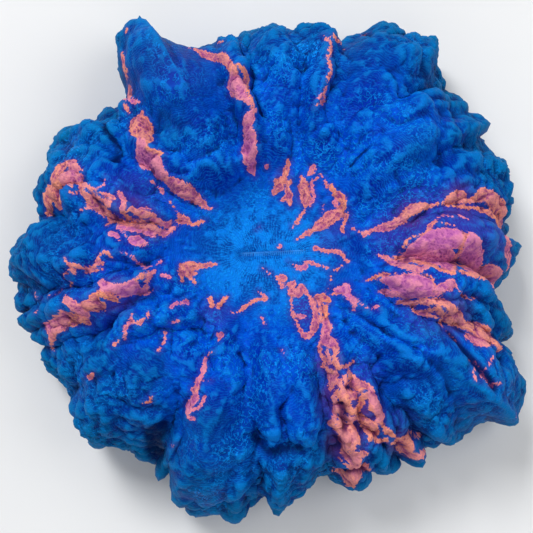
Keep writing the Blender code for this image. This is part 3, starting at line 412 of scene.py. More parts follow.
    (0.5, [(14.3, -33.4, 0.5), (15, -35.4, 0.6), (17.4, -36.3, 0.6)]),
    (0.4, [(15.6, -27, 0.5), (15.8, -28.4, 0.5), (15.4, -29.4, 0.4)]),
    (0.1, [(18.4, -35.6, 0.6), (19.8, -36.6, 1), (21.2, -37.8, 1.4), (22, -38.9, 1.2), (21.3, -40, 0.7),
     (20.8, -41, 0.3)]),
    (0.1, [(21.6, -40.6, 0.4), (23.4, -41, 0.5), (25.2, -40.8, 0.35)]),
    (0.1, [(23.7, -37.2, 0.4), (24.8, -38.8, 0.5), (26.8, -40, 0.5)]),
    (0.4, [(13.1, -31.4, 0.6), (13.7, -32.8, 0.5), (13.7, -34.8, 0.5), (13.4, -37, 0.5)]),
    (0.3, [(14.3, -28.2, 0.5), (14.8, -30.2, 0.6), (15.4, -32.2, 0.5)]),
    (0.2, [(13, -37, 0.6), (14.2, -37.8, 1), (15.6, -38.2, 1.3), (17, -37.8, 0.8)]),
    (0.3, [(14.2, -35.6, 0.4), (14.8, -36.8, 0.8)]),
    (0.3, [(16, -39.4, 1.4), (16.8, -41.2, 1.5), (16.2, -42.8, 0.8), (15.5, -43.6, 0.3)]),
    (0.2, [(17.4, -38.6, 0.9), (18.3, -40.6, 0.6), (19, -41.8, 0.3)]),
    (0.3, [(17, -44.2, 0.9), (18.6, -43.5, 0.7), (20.6, -43.6, 0.5)]),
    (0.4, [(18.2, -45, 1.3), (18.6, -46.4, 1.2), (18.2, -47.8, 1.1), (19.2, -48.6, 1.3)]),
    (0.4, [(20.9, -46.8, 0.8), (21.5, -47.6, 0.5), (22.8, -47.8, 0.15)]),
    (0.2, [(14.6, -48.4, 0.5), (15.8, -48.1, 0.6), (17.2, -48.9, 0.8), (18.6, -50.2, 1.3),
     (18.6, -51.8, 0.8)]),
    (0.4, [(15.2, -45, 0.15), (16.8, -46.4, 0.25)]),
    (0.2, [(26, -41.6, 0.25), (28, -41.4, 0.7), (30.6, -41, 1.1), (31.6, -42.2, 1), (30.6, -43.8, 0.9),
     (28.8, -42.8, 0.5)]),
    (0.3, [(30.6, -39.2, 0.15), (32.2, -39.8, 0.3), (34, -40.4, 0.4), (32.6, -40.8, 0.4)]),
    (0.4, [(32, -44.8, 0.8), (34, -45.2, 0.7), (35.2, -44, 0.4), (33.4, -43.4, 0.3)]),
    # south: the thin ribbon with a hook, and small dabs
    (0.4, [(-11.8, -18.1, 0.25), (-10.8, -18.2, 0.55), (-11.1, -19.6, 0.15)]),
    (0.8, [(-21.2, -15.8, 0.25), (-19.8, -15.3, 0.25)]),
    (0.7, [(-12.1, -21.6, 0.1), (-13.6, -22.7, 0.2), (-14.3, -23.8, 0.35), (-14, -24.8, 0.55),
     (-14.6, -26.8, 0.45), (-15.5, -27.9, 0.55), (-15.6, -29, 0.35)]),
    (0.3, [(-16.9, -29.8, 0.2), (-15.9, -29.7, 0.6)]),
    (0.7, [(-15.8, -30.6, 0.6), (-16.2, -32, 0.8), (-17.2, -33, 0.9), (-17.5, -34.3, 0.6),
     (-16.3, -33.9, 0.4), (-15, -33.4, 0.35), (-14.5, -32.5, 0.25), (-13.9, -31.4, 0.18)]),
    (0.5, [(-14.2, -28.1, 0.2), (-12.8, -28, 0.15)]),
    (0.8, [(-17.6, -35.4, 0.2), (-16.3, -35.8, 0.35)]),
    (1.0, [(2.5, -21.4, 0.25), (2.7, -22.4, 0.15)]),
    (0.6, [(-1.8, -14.2, 0.12), (-1.3, -16, 0.15)]),
    (0.2, [(-20.9, -42, 0.25), (-20.3, -41.4, 0.1)]),
    # east: the raised edge, the mauve lobes inside it and the ribbons under them
    (0.4, [(18.2, 5.6, 0.2), (20.5, 3.9, 0.3), (22.5, 5, 0.5), (24, 5.3, 0.8), (25.9, 5.6, 1.2),
     (27.7, 6.4, 1), (29, 7.2, 0.9)]),
    (0.2, [(29, 7.4, 0.9), (30.9, 9, 1.3), (32.4, 9.4, 1), (34.6, 9.8, 0.5), (37.6, 10.6, 0.5),
     (39.6, 11.6, 1.2), (41.6, 12, 1.3), (43.5, 10.9, 0.5), (46, 12.6, 1.3), (47.4, 13.7, 0.9),
     (49, 12.6, 1.6), (50.5, 11.8, 1.6), (52.8, 11.2, 1.5), (53.6, 9.4, 1.3), (53, 6.8, 1.1),
     (53.2, 4.6, 0.5)]),
    (0.0, [(38, 9.9, 0.3), (42, 9.7, 0.4), (46, 9.9, 0.5), (49.5, 9.2, 0.7), (52, 7.6, 0.5)]),
    (0.6, [(53.6, 7.3, 0.4), (53.9, 6.7, 0.4)]),
    (0.5, [(53.2, 4.6, 0.5), (53.6, 2.4, 1.1), (53.9, 0.6, 1.5), (54.6, -1.8, 0.5), (54.4, -4, 0.3)]),
    (0.6, [(50.8, -4.4, 1.2), (50, -6.2, 1.3), (48.6, -7.6, 0.6)]),
    (0.9, [(34.8, 6, 0.2), (36.2, 7, 0.2), (37.3, 7.4, 0.25), (39.5, 7, 0.2), (40.9, 7.6, 0.25),
     (42.3, 6.6, 0.2)]),
    (0.95, [(30, 0.2, 0.9), (32.4, 0.8, 2), (34.6, 1.8, 2.4), (37, 1.9, 2.8), (38.8, 2.2, 2.2)]),
    (0.7, [(29, -0.8, 0.7), (33, -0.6, 1.7), (36.5, -1, 2.4), (37.9, -2, 2.2), (38.3, -3.6, 1.3)]),
    (0.1, [(27, -1.2, 0.5), (30, -2.2, 0.7), (34, -2.9, 0.5), (36.2, -4.3, 0.6), (38.8, -5, 0.5),
     (40, -2.8, 0.4), (40.4, 0, 0.25), (41.4, 2.2, 0.4), (42, 2.9, 0.35)]),
    (0.2, [(27.5, -0.6, 0.3), (30, 2.7, 0.3), (33, 3.3, 0.3), (33.8, 4.7, 0.4), (34.8, 5.9, 0.25),
     (39.2, 5, 0.15)]),
    (0.5, [(23.1, -0.6, 0.2), (25, -1.3, 0.5), (27, -2.6, 0.8), (29.5, -3.6, 0.8), (32, -4.6, 0.5),
     (33.4, -3.6, 0.4)]),
    (1.0, [(42.6, 2.4, 1), (43, 1, 2.1), (43.6, -0.6, 2.6), (45, -2.2, 2)]),
    (0.5, [(42.6, -3.8, 0.7), (46.4, -4, 1.3), (49.4, -3.4, 1.4), (51.6, -4.2, 1.1), (51, -5.8, 0.9)]),
    (0.1, [(49.6, 10.8, 0.5), (51.4, 9, 0.8), (52.5, 7, 0.8), (52.8, 5, 0.4)]),
    (0.3, [(41.2, 3.4, 0.4), (40.8, 1.4, 0.5), (40.6, -0.6, 0.5), (40, -2.4, 0.6)]),
    (0.85, [(28, -9.4, 0.5), (31, -9.8, 0.6), (34, -9.6, 0.6), (36.4, -9.4, 0.4)]),
    (0.2, [(36, -13.4, 0.5), (37.6, -14.4, 0.8), (39.4, -15.6, 0.8)]),
    (0.1, [(41, -3, 0.3), (44, -2.9, 0.3), (47, -2.6, 0.3)]),
    (0.2, [(40.2, -4.4, 0.3), (43, -5.2, 0.5), (46.3, -5.6, 0.5), (48.6, -4.8, 0.6), (50.2, -3.2, 0.5)]),
    (0.0, [(20.9, -6.2, 0.25), (23, -5.4, 0.3), (27, -4.9, 0.3)]),
    (0.85, [(24, -6.2, 0.5), (25.4, -6.4, 0.9), (27.4, -7.2, 1.9), (30, -7.5, 2.4), (32.4, -7.8, 2),
     (33.8, -8.3, 1.1)]),
    (0.5, [(24.2, -8.7, 0.5), (26.4, -9.2, 0.8), (30, -9.6, 0.6)]),
    (0.2, [(32.4, -5.2, 0.3), (34.2, -6, 0.3), (34.6, -8.4, 0.35), (32.6, -9.6, 0.3)]),
    (0.8, [(34.8, -8.8, 0.6), (36.6, -8.3, 1), (38, -7.3, 0.9), (38.3, -8.6, 0.5)]),
    (0.5, [(38.9, -7.6, 0.25), (40.1, -9, 0.3), (41.7, -9.7, 0.3), (43.6, -10.4, 0.3),
     (45.2, -9.8, 0.15)]),
    (0.2, [(27.5, -10.9, 0.4), (30, -11.3, 0.6), (32.5, -11, 0.8), (35, -11, 0.8), (37.5, -11.8, 0.9),
     (39.2, -13.2, 0.9), (41, -14, 0.8)]),
    (0.4, [(38.6, -12.8, 0.9), (40.4, -14.6, 1.1), (42, -15.4, 0.8)]),
    (0.1, [(39.8, -15.4, 0.7), (42.6, -16, 1), (45.4, -16.8, 1.5), (47.6, -18, 1.8), (49.2, -19.4, 1)]),
    (0.4, [(43, -18.2, 0.8), (45, -19.6, 1), (47.6, -19.8, 1)]),
    (0.2, [(30.5, -12, 0.35), (31.5, -13.3, 0.35), (34, -13.9, 0.35), (36.4, -14.7, 0.35),
     (37, -16, 0.3)]),
    (0.1, [(32.6, -13, 0.3), (36.4, -12.5, 0.35)]),
    (0.3, [(37.4, -16.9, 0.15), (39.2, -18.4, 0.2), (40.4, -20, 0.12)]),
    (0.5, [(42.6, -23.6, 0.25), (44, -24.3, 0.25), (44.8, -25, 0.12)]),
    (0.6, [(43.2, -25, 0.3), (43.4, -25.8, 0.2)]),
    (0.7, [(42.8, -26, 0.12), (43.4, -27.8, 0.2)]),
    (0.3, [(50.2, -21, 0.6), (51.6, -20.4, 0.4)]),
    (0.7, [(48.4, -22.6, 0.2), (47.6, -23.8, 0.25), (46.4, -25.2, 0.15), (45.2, -26, 0.3),
     (44.7, -27.6, 0.45), (45.8, -27.3, 0.3), (46.6, -28.7, 0.3), (47.4, -29.2, 0.35), (48.2, -28.4, 0.35),
     (49.8, -28.6, 0.2)]),
    (0.6, [(55.4, -35.6, 0.25), (55.2, -36.6, 0.15)]),
    (0.9, [(14.4, -8, 0.6), (15.6, -8.2, 0.8), (16.8, -7.4, 0.9), (17, -9.2, 0.8), (18.2, -10.8, 0.7),
     (18.1, -12.6, 0.3)]),
    (0.9, [(19, -10.4, 0.35), (20, -12, 0.25), (21.4, -12.6, 0.2), (23, -12.2, 0.2), (23.2, -13, 0.15)]),
]
NO_RIBBON = -6.0             # signed distance written where no ribbon is near
RIBBON_RISE = 0.12           # how far they stand out of the flesh
RIBBON_SLOPE = (-0.3, 0.6)   # signed distance over which they rise
RIBBON_FOLDS = (1.9, 0.5)    # spacing and height of their folds
RIBBON_PINK_FLATTER = 0.75   # how much lower the folds are on the pink ones
RIBBON_SLANT = 0.3           # how far their cross threads slant
RIBBON_UNDER = (0.5, 3.0)    # past the rim: how much they are drawn in, and how much narrower

# Patches of other flesh colour, the darker blue ones partly painted shade: x, y, radius, strength.
PURPLE_PATCHES = [
    (33, 6, 7, 0.9), (42, 6, 7, 0.9), (27, 4, 5, 0.7), (8, -13, 3.4, 0.9), (14, -33, 4, 0.9),
    (21, -38, 4, 0.8), (17, -43, 4, 0.7), (12, -24, 3, 0.6), (15, 7, 3.5, 0.6), (-30, 12, 5, 0.45),
    (-12, -13, 3.5, 0.5), (34, -13, 6, 0.5), (28, -38, 4, 0.5), (-20, 41, 8, 0.15), (-38, -13, 5, 0.35),
    (20, -27, 4, 0.4), (48, 4, 5, 0.7), (13, 3, 2.5, 0.4),
]
PLUM_PATCHES = [
    (15, -31, 4, 0.9), (19, -35, 4.6, 0.9), (16, -41, 4, 0.8), (12.5, -24, 2.5, 0.8), (29, -42, 3, 0.6),
    (-31, 8, 4, 0.5), (-27, 5.6, 4, 0.6), (41, 11, 4, 0.5), (30, 7.6, 3, 0.5), (-33, -10, 4, 0.4),
    (8, 13, 2.4, 0.6), (3, 17, 2, 0.5), (40, -14, 4, 0.5),
]
# Darker blue: partly the flesh's own deeper tone, partly painted shade between lobes and in hollows.
DARK_TONE_AND_SHADE_PATCHES = [
    (-8.7, 8, 3.4, 0.5), (-7.2, -3.6, 2.2, 0.5), (-1.6, -6.4, 2.4, 0.6), (-3.4, 14.5, 2.5, 0.6),
    (-13, 4, 4, 0.4), (6, -13, 3.5, 0.9), (-46, 0, 10, 0.8), (-53, -3, 8, 0.7), (-33, -30, 8, 0.8),
    (-15, -47.5, 4.5, 0.8), (-27, -36, 5, 0.9), (-46, 0, 6, 0.9), (-6, -38, 10, 0.7),
    (-14, 30, 10, 0.5), (-32, -38, 9, 0.7), (30, -34, 8, 0.7), (16, 44, 8, 0.5), (38, 40, 7, 0.5),
    (6, -48, 9, 0.8), (-24, -44, 9, 0.8), (30, 8, 5, 0.5), (48, -11, 6, 0.4), (-24, 40, 9, 0.4),
    (12, -28, 4, 0.6), (46, 22, 6, 0.4), (24, 51, 7, 0.4),
]
PALE_PATCHES = [
    (0, 0, 13, 0.7), (7, 0.8, 3.4, 1), (8, 42, 8, 0.9), (2, 25, 8, 0.5), (12, 21, 3, 0.9),
    (25, 16, 9, 0.5), (-14, 20, 6, 0.6), (6, -24, 7, 0.6), (-22, -8, 7, 0.5), (30, 25, 8, 0.4),
    (-42, 26, 7, 0.9), (-44, -27, 5, 0.7), (18, -16, 5, 0.5), (-7, -46, 5, 0.9), (-12, -54, 5, 0.7),
    (50, -33, 7, 0.5), (33, -22, 6, 0.4), (-30, 48, 6, 0.4), (36, 50, 6, 0.4), (22, -19, 5, 0.5),
]
TEAL_PATCHES = [
    (-23, 26, 5, 0.6), (-28, 43, 8, 0.5), (-41, 26, 8, 0.7), (-4, 48, 7, 0.6), (-39, -23, 7, 0.6),
    (-25.6, -25.6, 5, 0.5), (-15, -36, 5, 0.5), (-17, -49, 5, 0.7), (36, -16, 5, 0.5),
    (42, -29, 8, 0.6), (33, 22, 6, 0.4), (44, 27, 7, 0.6),
]
TEAL_RIM = (0.62, 1.02)      # how far out the flesh turns turquoise
DISC_COLOUR = (8.0, 19.0)    # distance from the mouth over which the disc's colour ends
LIP_LINE = (0.2, 0.05)       # the slit's line: its y at the middle, and how it slopes

# How hollow the flesh is, painted at three sizes: rounds of blurring, depth that counts as full.
HOLLOWS = {"valley": (160, 2.6), "crease": (30, 0.9), "fine_crease": (6, 0.16)}


def curve_through(points, steps_between):
    """Catmull-Rom curve through the points, as an array."""
    knots = np.array(points, dtype=float)
    padded = np.vstack([2 * knots[0] - knots[1], knots, 2 * knots[-1] - knots[-2]])
    share = np.linspace(0, 1, steps_between, endpoint=False)[:, None]
    pieces = []
    for p0, p1, p2, p3 in zip(padded, padded[1:], padded[2:], padded[3:]):
        pieces.append(0.5 * (2 * p1 + (p2 - p0) * share
                             + (2 * p0 - 5 * p1 + 4 * p2 - p3) * share ** 2
                             + (3 * p1 - p0 - 3 * p2 + p3) * share ** 3))
    return np.vstack(pieces + [knots[-1:]])


def smooth_step(low, high, value):
    """0 below low, 1 above high, with soft ends."""
    share = np.clip((value - low) / (high - low), 0.0, 1.0)
    return share * share * (3 - 2 * share)


def rim_radii():
    """The rim's radius at every bearing: as traced, and smoothed for the inner flesh."""
    rim = np.array(OUTLINE)
    bearing = np.linspace(-math.pi, math.pi, OUTLINE_BEARINGS + 1)[:-1]
    traced = np.interp(bearing, np.arctan2(rim[:, 1], rim[:, 0]), np.hypot(rim[:, 0], rim[:, 1]),
                       period=2 * math.pi) - OUTLINE_INSET
    spread, reach = OUTLINE_BLUR
    offsets = np.arange(-reach, reach + 1)
    weights = np.exp(-0.5 * (offsets / spread) ** 2)
    smoothed = sum(w * np.roll(traced, k) for w, k in zip(weights, offsets)) / weights.sum()
    return bearing, traced, smoothed


def mound_frame(x, y, mound):
    """How far points lie from the middle of one mound, 1 at its edge, and how high it stands there."""
    cx, cy, half_length, half_width, heading, height, *lean = mound
    turn = math.radians(heading)
    along = ((x - cx) * math.cos(turn) + (y - cy) * math.sin(turn)) / half_length
    across = ((y - cy) * math.cos(turn) - (x - cx) * math.sin(turn)) / half_width
    outward = ((x - cx) * cx + (y - cy) * cy) / math.hypot(cx, cy) / math.sqrt(half_length * half_width)
    outward = np.clip(outward, -1, 1)
    dome = np.clip(1 - along ** 2 - across ** 2, 0, None) ** (DOME_POWER - OUTWARD_POWER * outward)
    swell = (1 + sum(lean) * along) * (1 + OUTWARD_SWELL * outward)
    return np.hypot(along, across), height * swell * dome


def swelling(x, y, mounds, softness):
    """Height of the mounds in a table, creased where they meet."""
    total = np.ones_like(x)
    for mound in mounds:
        total += np.expm1(mound_frame(x, y, mound)[1] / softness)
    return softness * np.log(total)


def edge_share(x, y):
    """Where points lie in the mound that stands highest there: 0 in its middle to 1 at its edge."""
    highest, share = np.zeros_like(x), np.ones_like(x)
    for mounds, weight in ((FOLDS, FOLD_EDGE_WEIGHT), (LOBES, 1.0)):
        for mound in mounds:
            spread, height = mound_frame(x, y, mound)
            wins = height * weight > highest
            highest[wins] = (height * weight)[wins]
            share[wins] = spread[wins]
    return share


def along_runs(x, y, runs):
    """For each piece of each run of x, y, width: the gap to it, the width there and how far along."""
    for number, points in enumerate(runs):
        start = 0.0
        for (x0, y0, w0), (x1, y1, w1) in zip(points, points[1:]):
            run_x, run_y = x1 - x0, y1 - y0
            length = math.hypot(run_x, run_y)
            share = np.clip(((x - x0) * run_x + (y - y0) * run_y) / length ** 2, 0, 1)
            gap = np.hypot(x - x0 - share * run_x, y - y0 - share * run_y)
            yield number, gap, w0 + share * (w1 - w0), start + share * length
            start += length


def cleft_depth(x, y):
    """How deep the clefts are, in mm."""
    runs = [[(px, py, width) for px, py in points] for width, _, points in CLEFTS]
    depth = np.zeros_like(x)
    for number, gap, width, _ in along_runs(x, y, runs):
        depth = np.maximum(depth, CLEFTS[number][1] * np.exp(-(gap / width) ** 2))
    return depth


def patches(x, y, table):
    """Soft round patches, joined by the strongest."""
    strength = np.zeros_like(x)
    for cx, cy, radius, most in table:
        gap = ((x - cx) ** 2 + (y - cy) ** 2) / radius ** 2
        strength = np.maximum(strength, most * np.exp(-gap * gap))
    return strength


def billows(points, size):
    """Rounded swellings with sharp creases between them, from 0 in the creases."""
    return np.array([abs(noise.noise(Vector(p / size))) for p in points])


def ridges(points, size):
    """Sharp winding crests, 1 on top, with rounded hollows between them."""
    return np.clip(1 - RIDGE_SHARPNESS * billows(points, size), 0, 1) ** 2


def bends(points, size):
    """Smooth random shifts, up to about 1 each way, that turn within about this size."""
    return np.array([noise.noise_vector(Vector(p / size))[:] for p in points])


def wander(points):
    """Push points about sideways, so that the creases don't run true."""
    moved = points.copy()
    for size, distance in WANDER:
        moved += distance * bends(points, size)
    return moved


def pleats(x, y):
    """Height of the pleats that run outwards from the mouth."""
    bearing, radius = np.arctan2(y, x), np.hypot(x, y)
    ring = PLEAT_RING[0] + PLEAT_RING[1] * radius
    places = np.stack([ring * np.cos(bearing), ring * np.sin(bearing), radius / PLEAT_STRETCH], axis=1)
    size, distance = PLEAT_BENDS
    places += distance * bends(places, size)
    return sum(height * billows(places, size) for size, height in PLEATS)


def scallops(points, spacing, outwards):
    """Rounded lumps packed at random in space, each one raised at its outward lip; about 1 on top."""
    middles = np.array([noise.voronoi(Vector(p / spacing))[1][0][:] for p in points])
    offset = points / spacing - middles
    dome = np.sqrt(np.clip(1 - np.sum(offset ** 2, axis=1) / SCALLOP_SPREAD, 0, 1))
    return dome * (1 + SCALLOP_LIP * np.sum(offset * outwards, axis=1))


def cage():
    """Corners and faces of an open-bottomed square post: a gridded top, then rows down its sides.

    Corners are x, y of a square from -1 to 1 and minus the row below its edge."""
    n, ticks = DISC_CELLS, np.linspace(-1, 1, DISC_CELLS + 1)
    x, y = np.meshgrid(ticks, ticks)
    top = np.stack([x.ravel(), y.ravel(), np.zeros(x.size)], axis=1)
    index = np.arange((n + 1) ** 2).reshape(n + 1, n + 1)
    top_faces = np.stack([index[:-1, :-1], index[:-1, 1:], index[1:, 1:], index[1:, :-1]], axis=-1)
    edge = np.concatenate([index[0, :-1], index[:-1, -1], index[-1, :0:-1], index[:0:-1, 0]])

    rows = [top]
    rings = [edge]
    for row in range(1, SIDE_ROWS + 1):
        rows.append(top[edge] - [0, 0, row])
        rings.append(len(top) + (row - 1) * len(edge) + np.arange(len(edge)))
    side_faces = [np.stack([below, np.roll(below, -1), np.roll(above, -1), above], axis=-1)
                  for above, below in zip(rings, rings[1:])]
    corners = np.vstack(rows)
    faces = np.vstack([top_faces.reshape(-1, 4), *side_faces])
    return corners, faces, rings[-1]


def bearings(corners, square):
    """Bearing of each corner, with the bearings spread evenly along the cage's sides."""
    diagonal = np.where(square > 0, square, 1.0)
    across, upward = corners[:, 0] / diagonal, corners[:, 1] / diagonal
    on_side = np.abs(across) >= np.abs(upward)
    return np.where(on_side,
                    np.where(across >= 0, 0, math.pi) + math.pi / 4 * upward * np.sign(across),
                    np.sign(upward) * math.pi / 2 - math.pi / 4 * across * np.sign(upward))


def profile_at(share):
    """The profile's out and height and its direction at shares of its length, and the rim's share."""
    section = curve_through(PROFILE, PROFILE_STEPS)
    steps = np.hypot(np.diff(section[:, 0]) * RIM_RADIUS, np.diff(section[:, 1]))
    reach = np.concatenate([[0], np.cumsum(steps)]) / steps.sum()
    slope = np.gradient(section * [RIM_RADIUS, 1], reach, axis=0)
    slope /= np.linalg.norm(slope, axis=1)[:, None]
    out, height = (np.interp(share, reach, section[:, k]) for k in (0, 1))
    along_out, along_up = (np.interp(share, reach, slope[:, k]) for k in (0, 1))
    return out, height, along_out, along_up, reach[np.argmax(section[:, 0])]


def mound_lift(x, y, wandered, under):
    """How far the folds and lobes lift the flesh."""
    lift = swelling(wandered[:, 0], wandered[:, 1], FOLDS, FOLD_SOFTNESS)
    lift += LOBE_SHARE * swelling(wandered[:, 0], wandered[:, 1], LOBES, LOBE_SOFTNESS / LOBE_SHARE)
    return lift * ((1 - UNDER_FLATTER * under) * smooth_step(*DISC_EDGE, np.hypot(DISC_STRETCH * x, y)))


def flesh(corners):
    """Place the cage's corners on the polyp, without its fine lumps, and say how they lie."""
    square = np.maximum(np.abs(corners[:, 0]), np.abs(corners[:, 1]))
    bearing = bearings(corners, square)
    row = -corners[:, 2] / SIDE_ROWS
    row = row * (1 - ROW_CROWDING * (1 - row))
    share = square * PATCH_SHARE + (1 - PATCH_SHARE) * row
    out, height, along_out, along_up, rim_share = profile_at(share)

    angles, traced, smoothed = rim_radii()
    traced, smoothed = (np.interp(bearing, angles, k, period=2 * math.pi) for k in (traced, smoothed))
    above_rim, under_rim = (smooth_step(start, 1.0, out) for start in OUTLINE_FROM)
    radius = out * smoothed + (traced - smoothed) * np.where(share > rim_share, under_rim, above_rim)
    east, north = np.cos(bearing), np.sin(bearing)
    x, y = radius * east, radius * north

    under = smooth_step(PATCH_SHARE, 1.0, share)
    outer, near_rim, off_disc = (smooth_step(*span, out) for span in (OUTER_FLESH, NEAR_RIM, OFF_DISC))
    wandered = wander(np.stack([x, y, height], axis=1))
    rough = 1 - patches(x, y, SMOOTH_PATCHES)
    cleft = cleft_depth(x, y)
    outwards = np.stack([along_out * east, along_out * north, along_up], axis=1)
    foot = smooth_step(0, FOOT_FADE_HEIGHT, height)
    lift = mound_lift(x, y, wandered, under)
    lift += pleats(x, y) * smooth_step(*PLEATS_START, np.hypot(x, y)) * (1 - PLEAT_FADE * outer)
    for size, tall in RUFFLES:
        tall_here = tall * (RUFFLES_INNER + (1 - RUFFLES_INNER) * outer)
        lift += tall_here * billows(wandered, size) * off_disc * rough
    size, tall = RIDGES
    tall_here = tall * (RIDGES_INNER + (1 - RIDGES_INNER) * outer)
    lift += tall_here * ridges(wandered + size, size) * (off_disc * rough * (1 - RIDGES_FADE * near_rim))
    lift -= cleft
    lift += RIM_LUMP_HEIGHT * near_rim * scallops(wandered, RIM_LUMP_SIZE, outwards)
    lift -= MOUTH_DEPTH * np.exp(-((x / MOUTH_HALF_LENGTH) ** 2 + (y / MOUTH_HALF_WIDTH) ** 2))
    lift *= foot
    sideways = lift * (-along_up + OUTWARD_LEAN * (1 - near_rim) * (1 - under))
    points = np.stack([x + sideways * east, y + sideways * north,
                       np.clip(height + lift * along_out, 0, None)], axis=1)
    beyond = np.maximum(share - rim_share, 0) / (1 - rim_share)
    return points, {"out": np.where(beyond > 0, 1.0, out), "beyond": beyond, "cleft": cleft,
                    "edge": edge_share(wandered[:, 0], wandered[:, 1]),
                    "rough": rough, "outwards": outwards, "foot": foot}


def mesh_edges(mesh):
    edges = np.empty(len(mesh.edges) * 2, dtype=np.int32)
    mesh.edges.foreach_get("vertices", edges)
    return edges.reshape(-1, 2)


def mesh_normals(mesh):
    normals = np.empty(len(mesh.vertices) * 3)
    mesh.vertex_normals.foreach_get("vector", normals)
    return normals.reshape(-1, 3)


def set_points(mesh, points):
    mesh.vertices.foreach_set("co", points.ravel())
    mesh.update()


def paint(mesh, name, values):
    layer = mesh.attributes.new(name, "FLOAT", "POINT")
    layer.data.foreach_set("value", values.astype(np.float32))


def blurred(points, edges, rounds):
    """Points averaged with their neighbours along the mesh's edges, again and again."""
    first, second = edges.T
    count = np.bincount(edges.ravel(), minlength=len(points))[:, None]
    for _ in range(rounds):
        total = np.stack([np.bincount(first, points[second, k], len(points))
                          + np.bincount(second, points[first, k], len(points)) for k in range(3)],
                         axis=1)
        points = (points + total / count) / 2
    return points


def hollowness(mesh, points, edges, rounds):
    """How far each point lies below the flesh around it, in mm."""
    return np.sum((blurred(points, edges, rounds) - points) * mesh_normals(mesh), axis=1)


def push_out(mesh, points, rise, lowest=-math.inf):
    """Move the points along the mesh's normals, but not below the lowest height."""
    points = points + mesh_normals(mesh) * rise[:, None]
    points[:, 2] = np.maximum(points[:, 2], lowest)
    set_points(mesh, points)
    return points


def puff_up(mesh, points, edges, lie):
    """Fill the valleys, cover the flesh with fine lumps and swell its crests."""
    deep = np.clip(hollowness(mesh, points, edges, VALLEY_ROUNDS), 0, None)
    points = push_out(mesh, points, VALLEY_FILL * deep * lie["foot"])
    coarse, shown = (smooth_step(*span, lie["out"]) for span in (FINE_COARSER, FINE_START))
    for spacing, near_disc, at_rim in FINE_LUMPS:
        height = (near_disc + (at_rim - near_disc) * coarse) * lie["foot"] * shown * lie["rough"]
        lumps = scallops(points + FINE_SHIFT * spacing, spacing, lie["outwards"])
        points = push_out(mesh, points, height * (lumps - FINE_SINK), lowest=0)
    crown = -np.clip(hollowness(mesh, points, edges, CREST_ROUNDS), -CREST_MOST, 0)
    return push_out(mesh, points, CREST_PUFF * crown * lie["foot"], lowest=0)


def ribbon_distance(x, y):
    """Signed distance to the ribbons, above 0 inside them, how pink the nearest is, and how far along it."""
    inside = np.full(x.shape, NO_RIBBON)
    pink, along = np.zeros_like(x), np.zeros_like(x)
    for number, gap, width, run in along_runs(x, y, [points for _, points in RIBBONS]):
        wins = width - gap > inside
        inside[wins] = (width - gap)[wins]
        pink[wins] = RIBBONS[number][0]
        along[wins] = (run + RIBBON_SLANT * gap)[wins]
    return inside, pink, along


def add_ribbons(mesh, points, lie):
    """Raise the ribbons out of the flesh and fold them, and paint how they lie."""
    drawn_in, narrower = RIBBON_UNDER
    stretch = 1 + lie["beyond"] * drawn_in
    inside, pink, along = ribbon_distance(points[:, 0] * stretch, points[:, 1] * stretch)
    inside = inside - narrower * lie["beyond"]
    size, tall = RIBBON_FOLDS
    folds = tall * (1 - RIBBON_PINK_FLATTER * pink) * ridges(points, size)
    rise = (RIBBON_RISE + folds * smooth_step(0, 1, inside)) * smooth_step(*RIBBON_SLOPE, inside)
    paint(mesh, "ribbon", inside)
    paint(mesh, "pink", pink)
    paint(mesh, "along", along)
    return push_out(mesh, points, rise * lie["foot"])


def mouth_angle(x, y):
    """Angle of the lines that fan out from the slit: 0 at its right end, pi at its left end."""
    left, right = (np.hypot(x + k * MOUTH_HALF_LENGTH, y) for k in (1, -1))
    return np.arccos(np.clip((left - right) / (2 * MOUTH_HALF_LENGTH), -1, 1))


def paint_flesh(mesh, points, edges, lie):
    """Paint on what the colours go by."""
    x, y = points[:, 0], points[:, 1]
    for name, (rounds, full_depth) in HOLLOWS.items():
        paint(mesh, name, np.clip(hollowness(mesh, points, edges, rounds) / full_depth, -1, 1))
    for name, table in (("purple", PURPLE_PATCHES), ("plum", PLUM_PATCHES),
                        ("deep", DARK_TONE_AND_SHADE_PATCHES), ("pale", PALE_PATCHES)):
        paint(mesh, name, patches(x, y, table))
    paint(mesh, "teal", np.maximum(smooth_step(*TEAL_RIM, lie["out"]), patches(x, y, TEAL_PATCHES)))
    paint(mesh, "edge", lie["edge"])
    paint(mesh, "cleft", lie["cleft"])
    paint(mesh, "disc", 1 - smooth_step(*DISC_COLOUR, np.hypot(DISC_STRETCH * x, y)))
    paint(mesh, "fan", mouth_angle(x, y))
    paint(mesh, "from_mouth", np.hypot(np.maximum(np.abs(x) - MOUTH_HALF_LENGTH, 0), y))
    paint(mesh, "lip_x", x)
    paint(mesh, "lip_y", y - LIP_LINE[0] - LIP_LINE[1] * x)


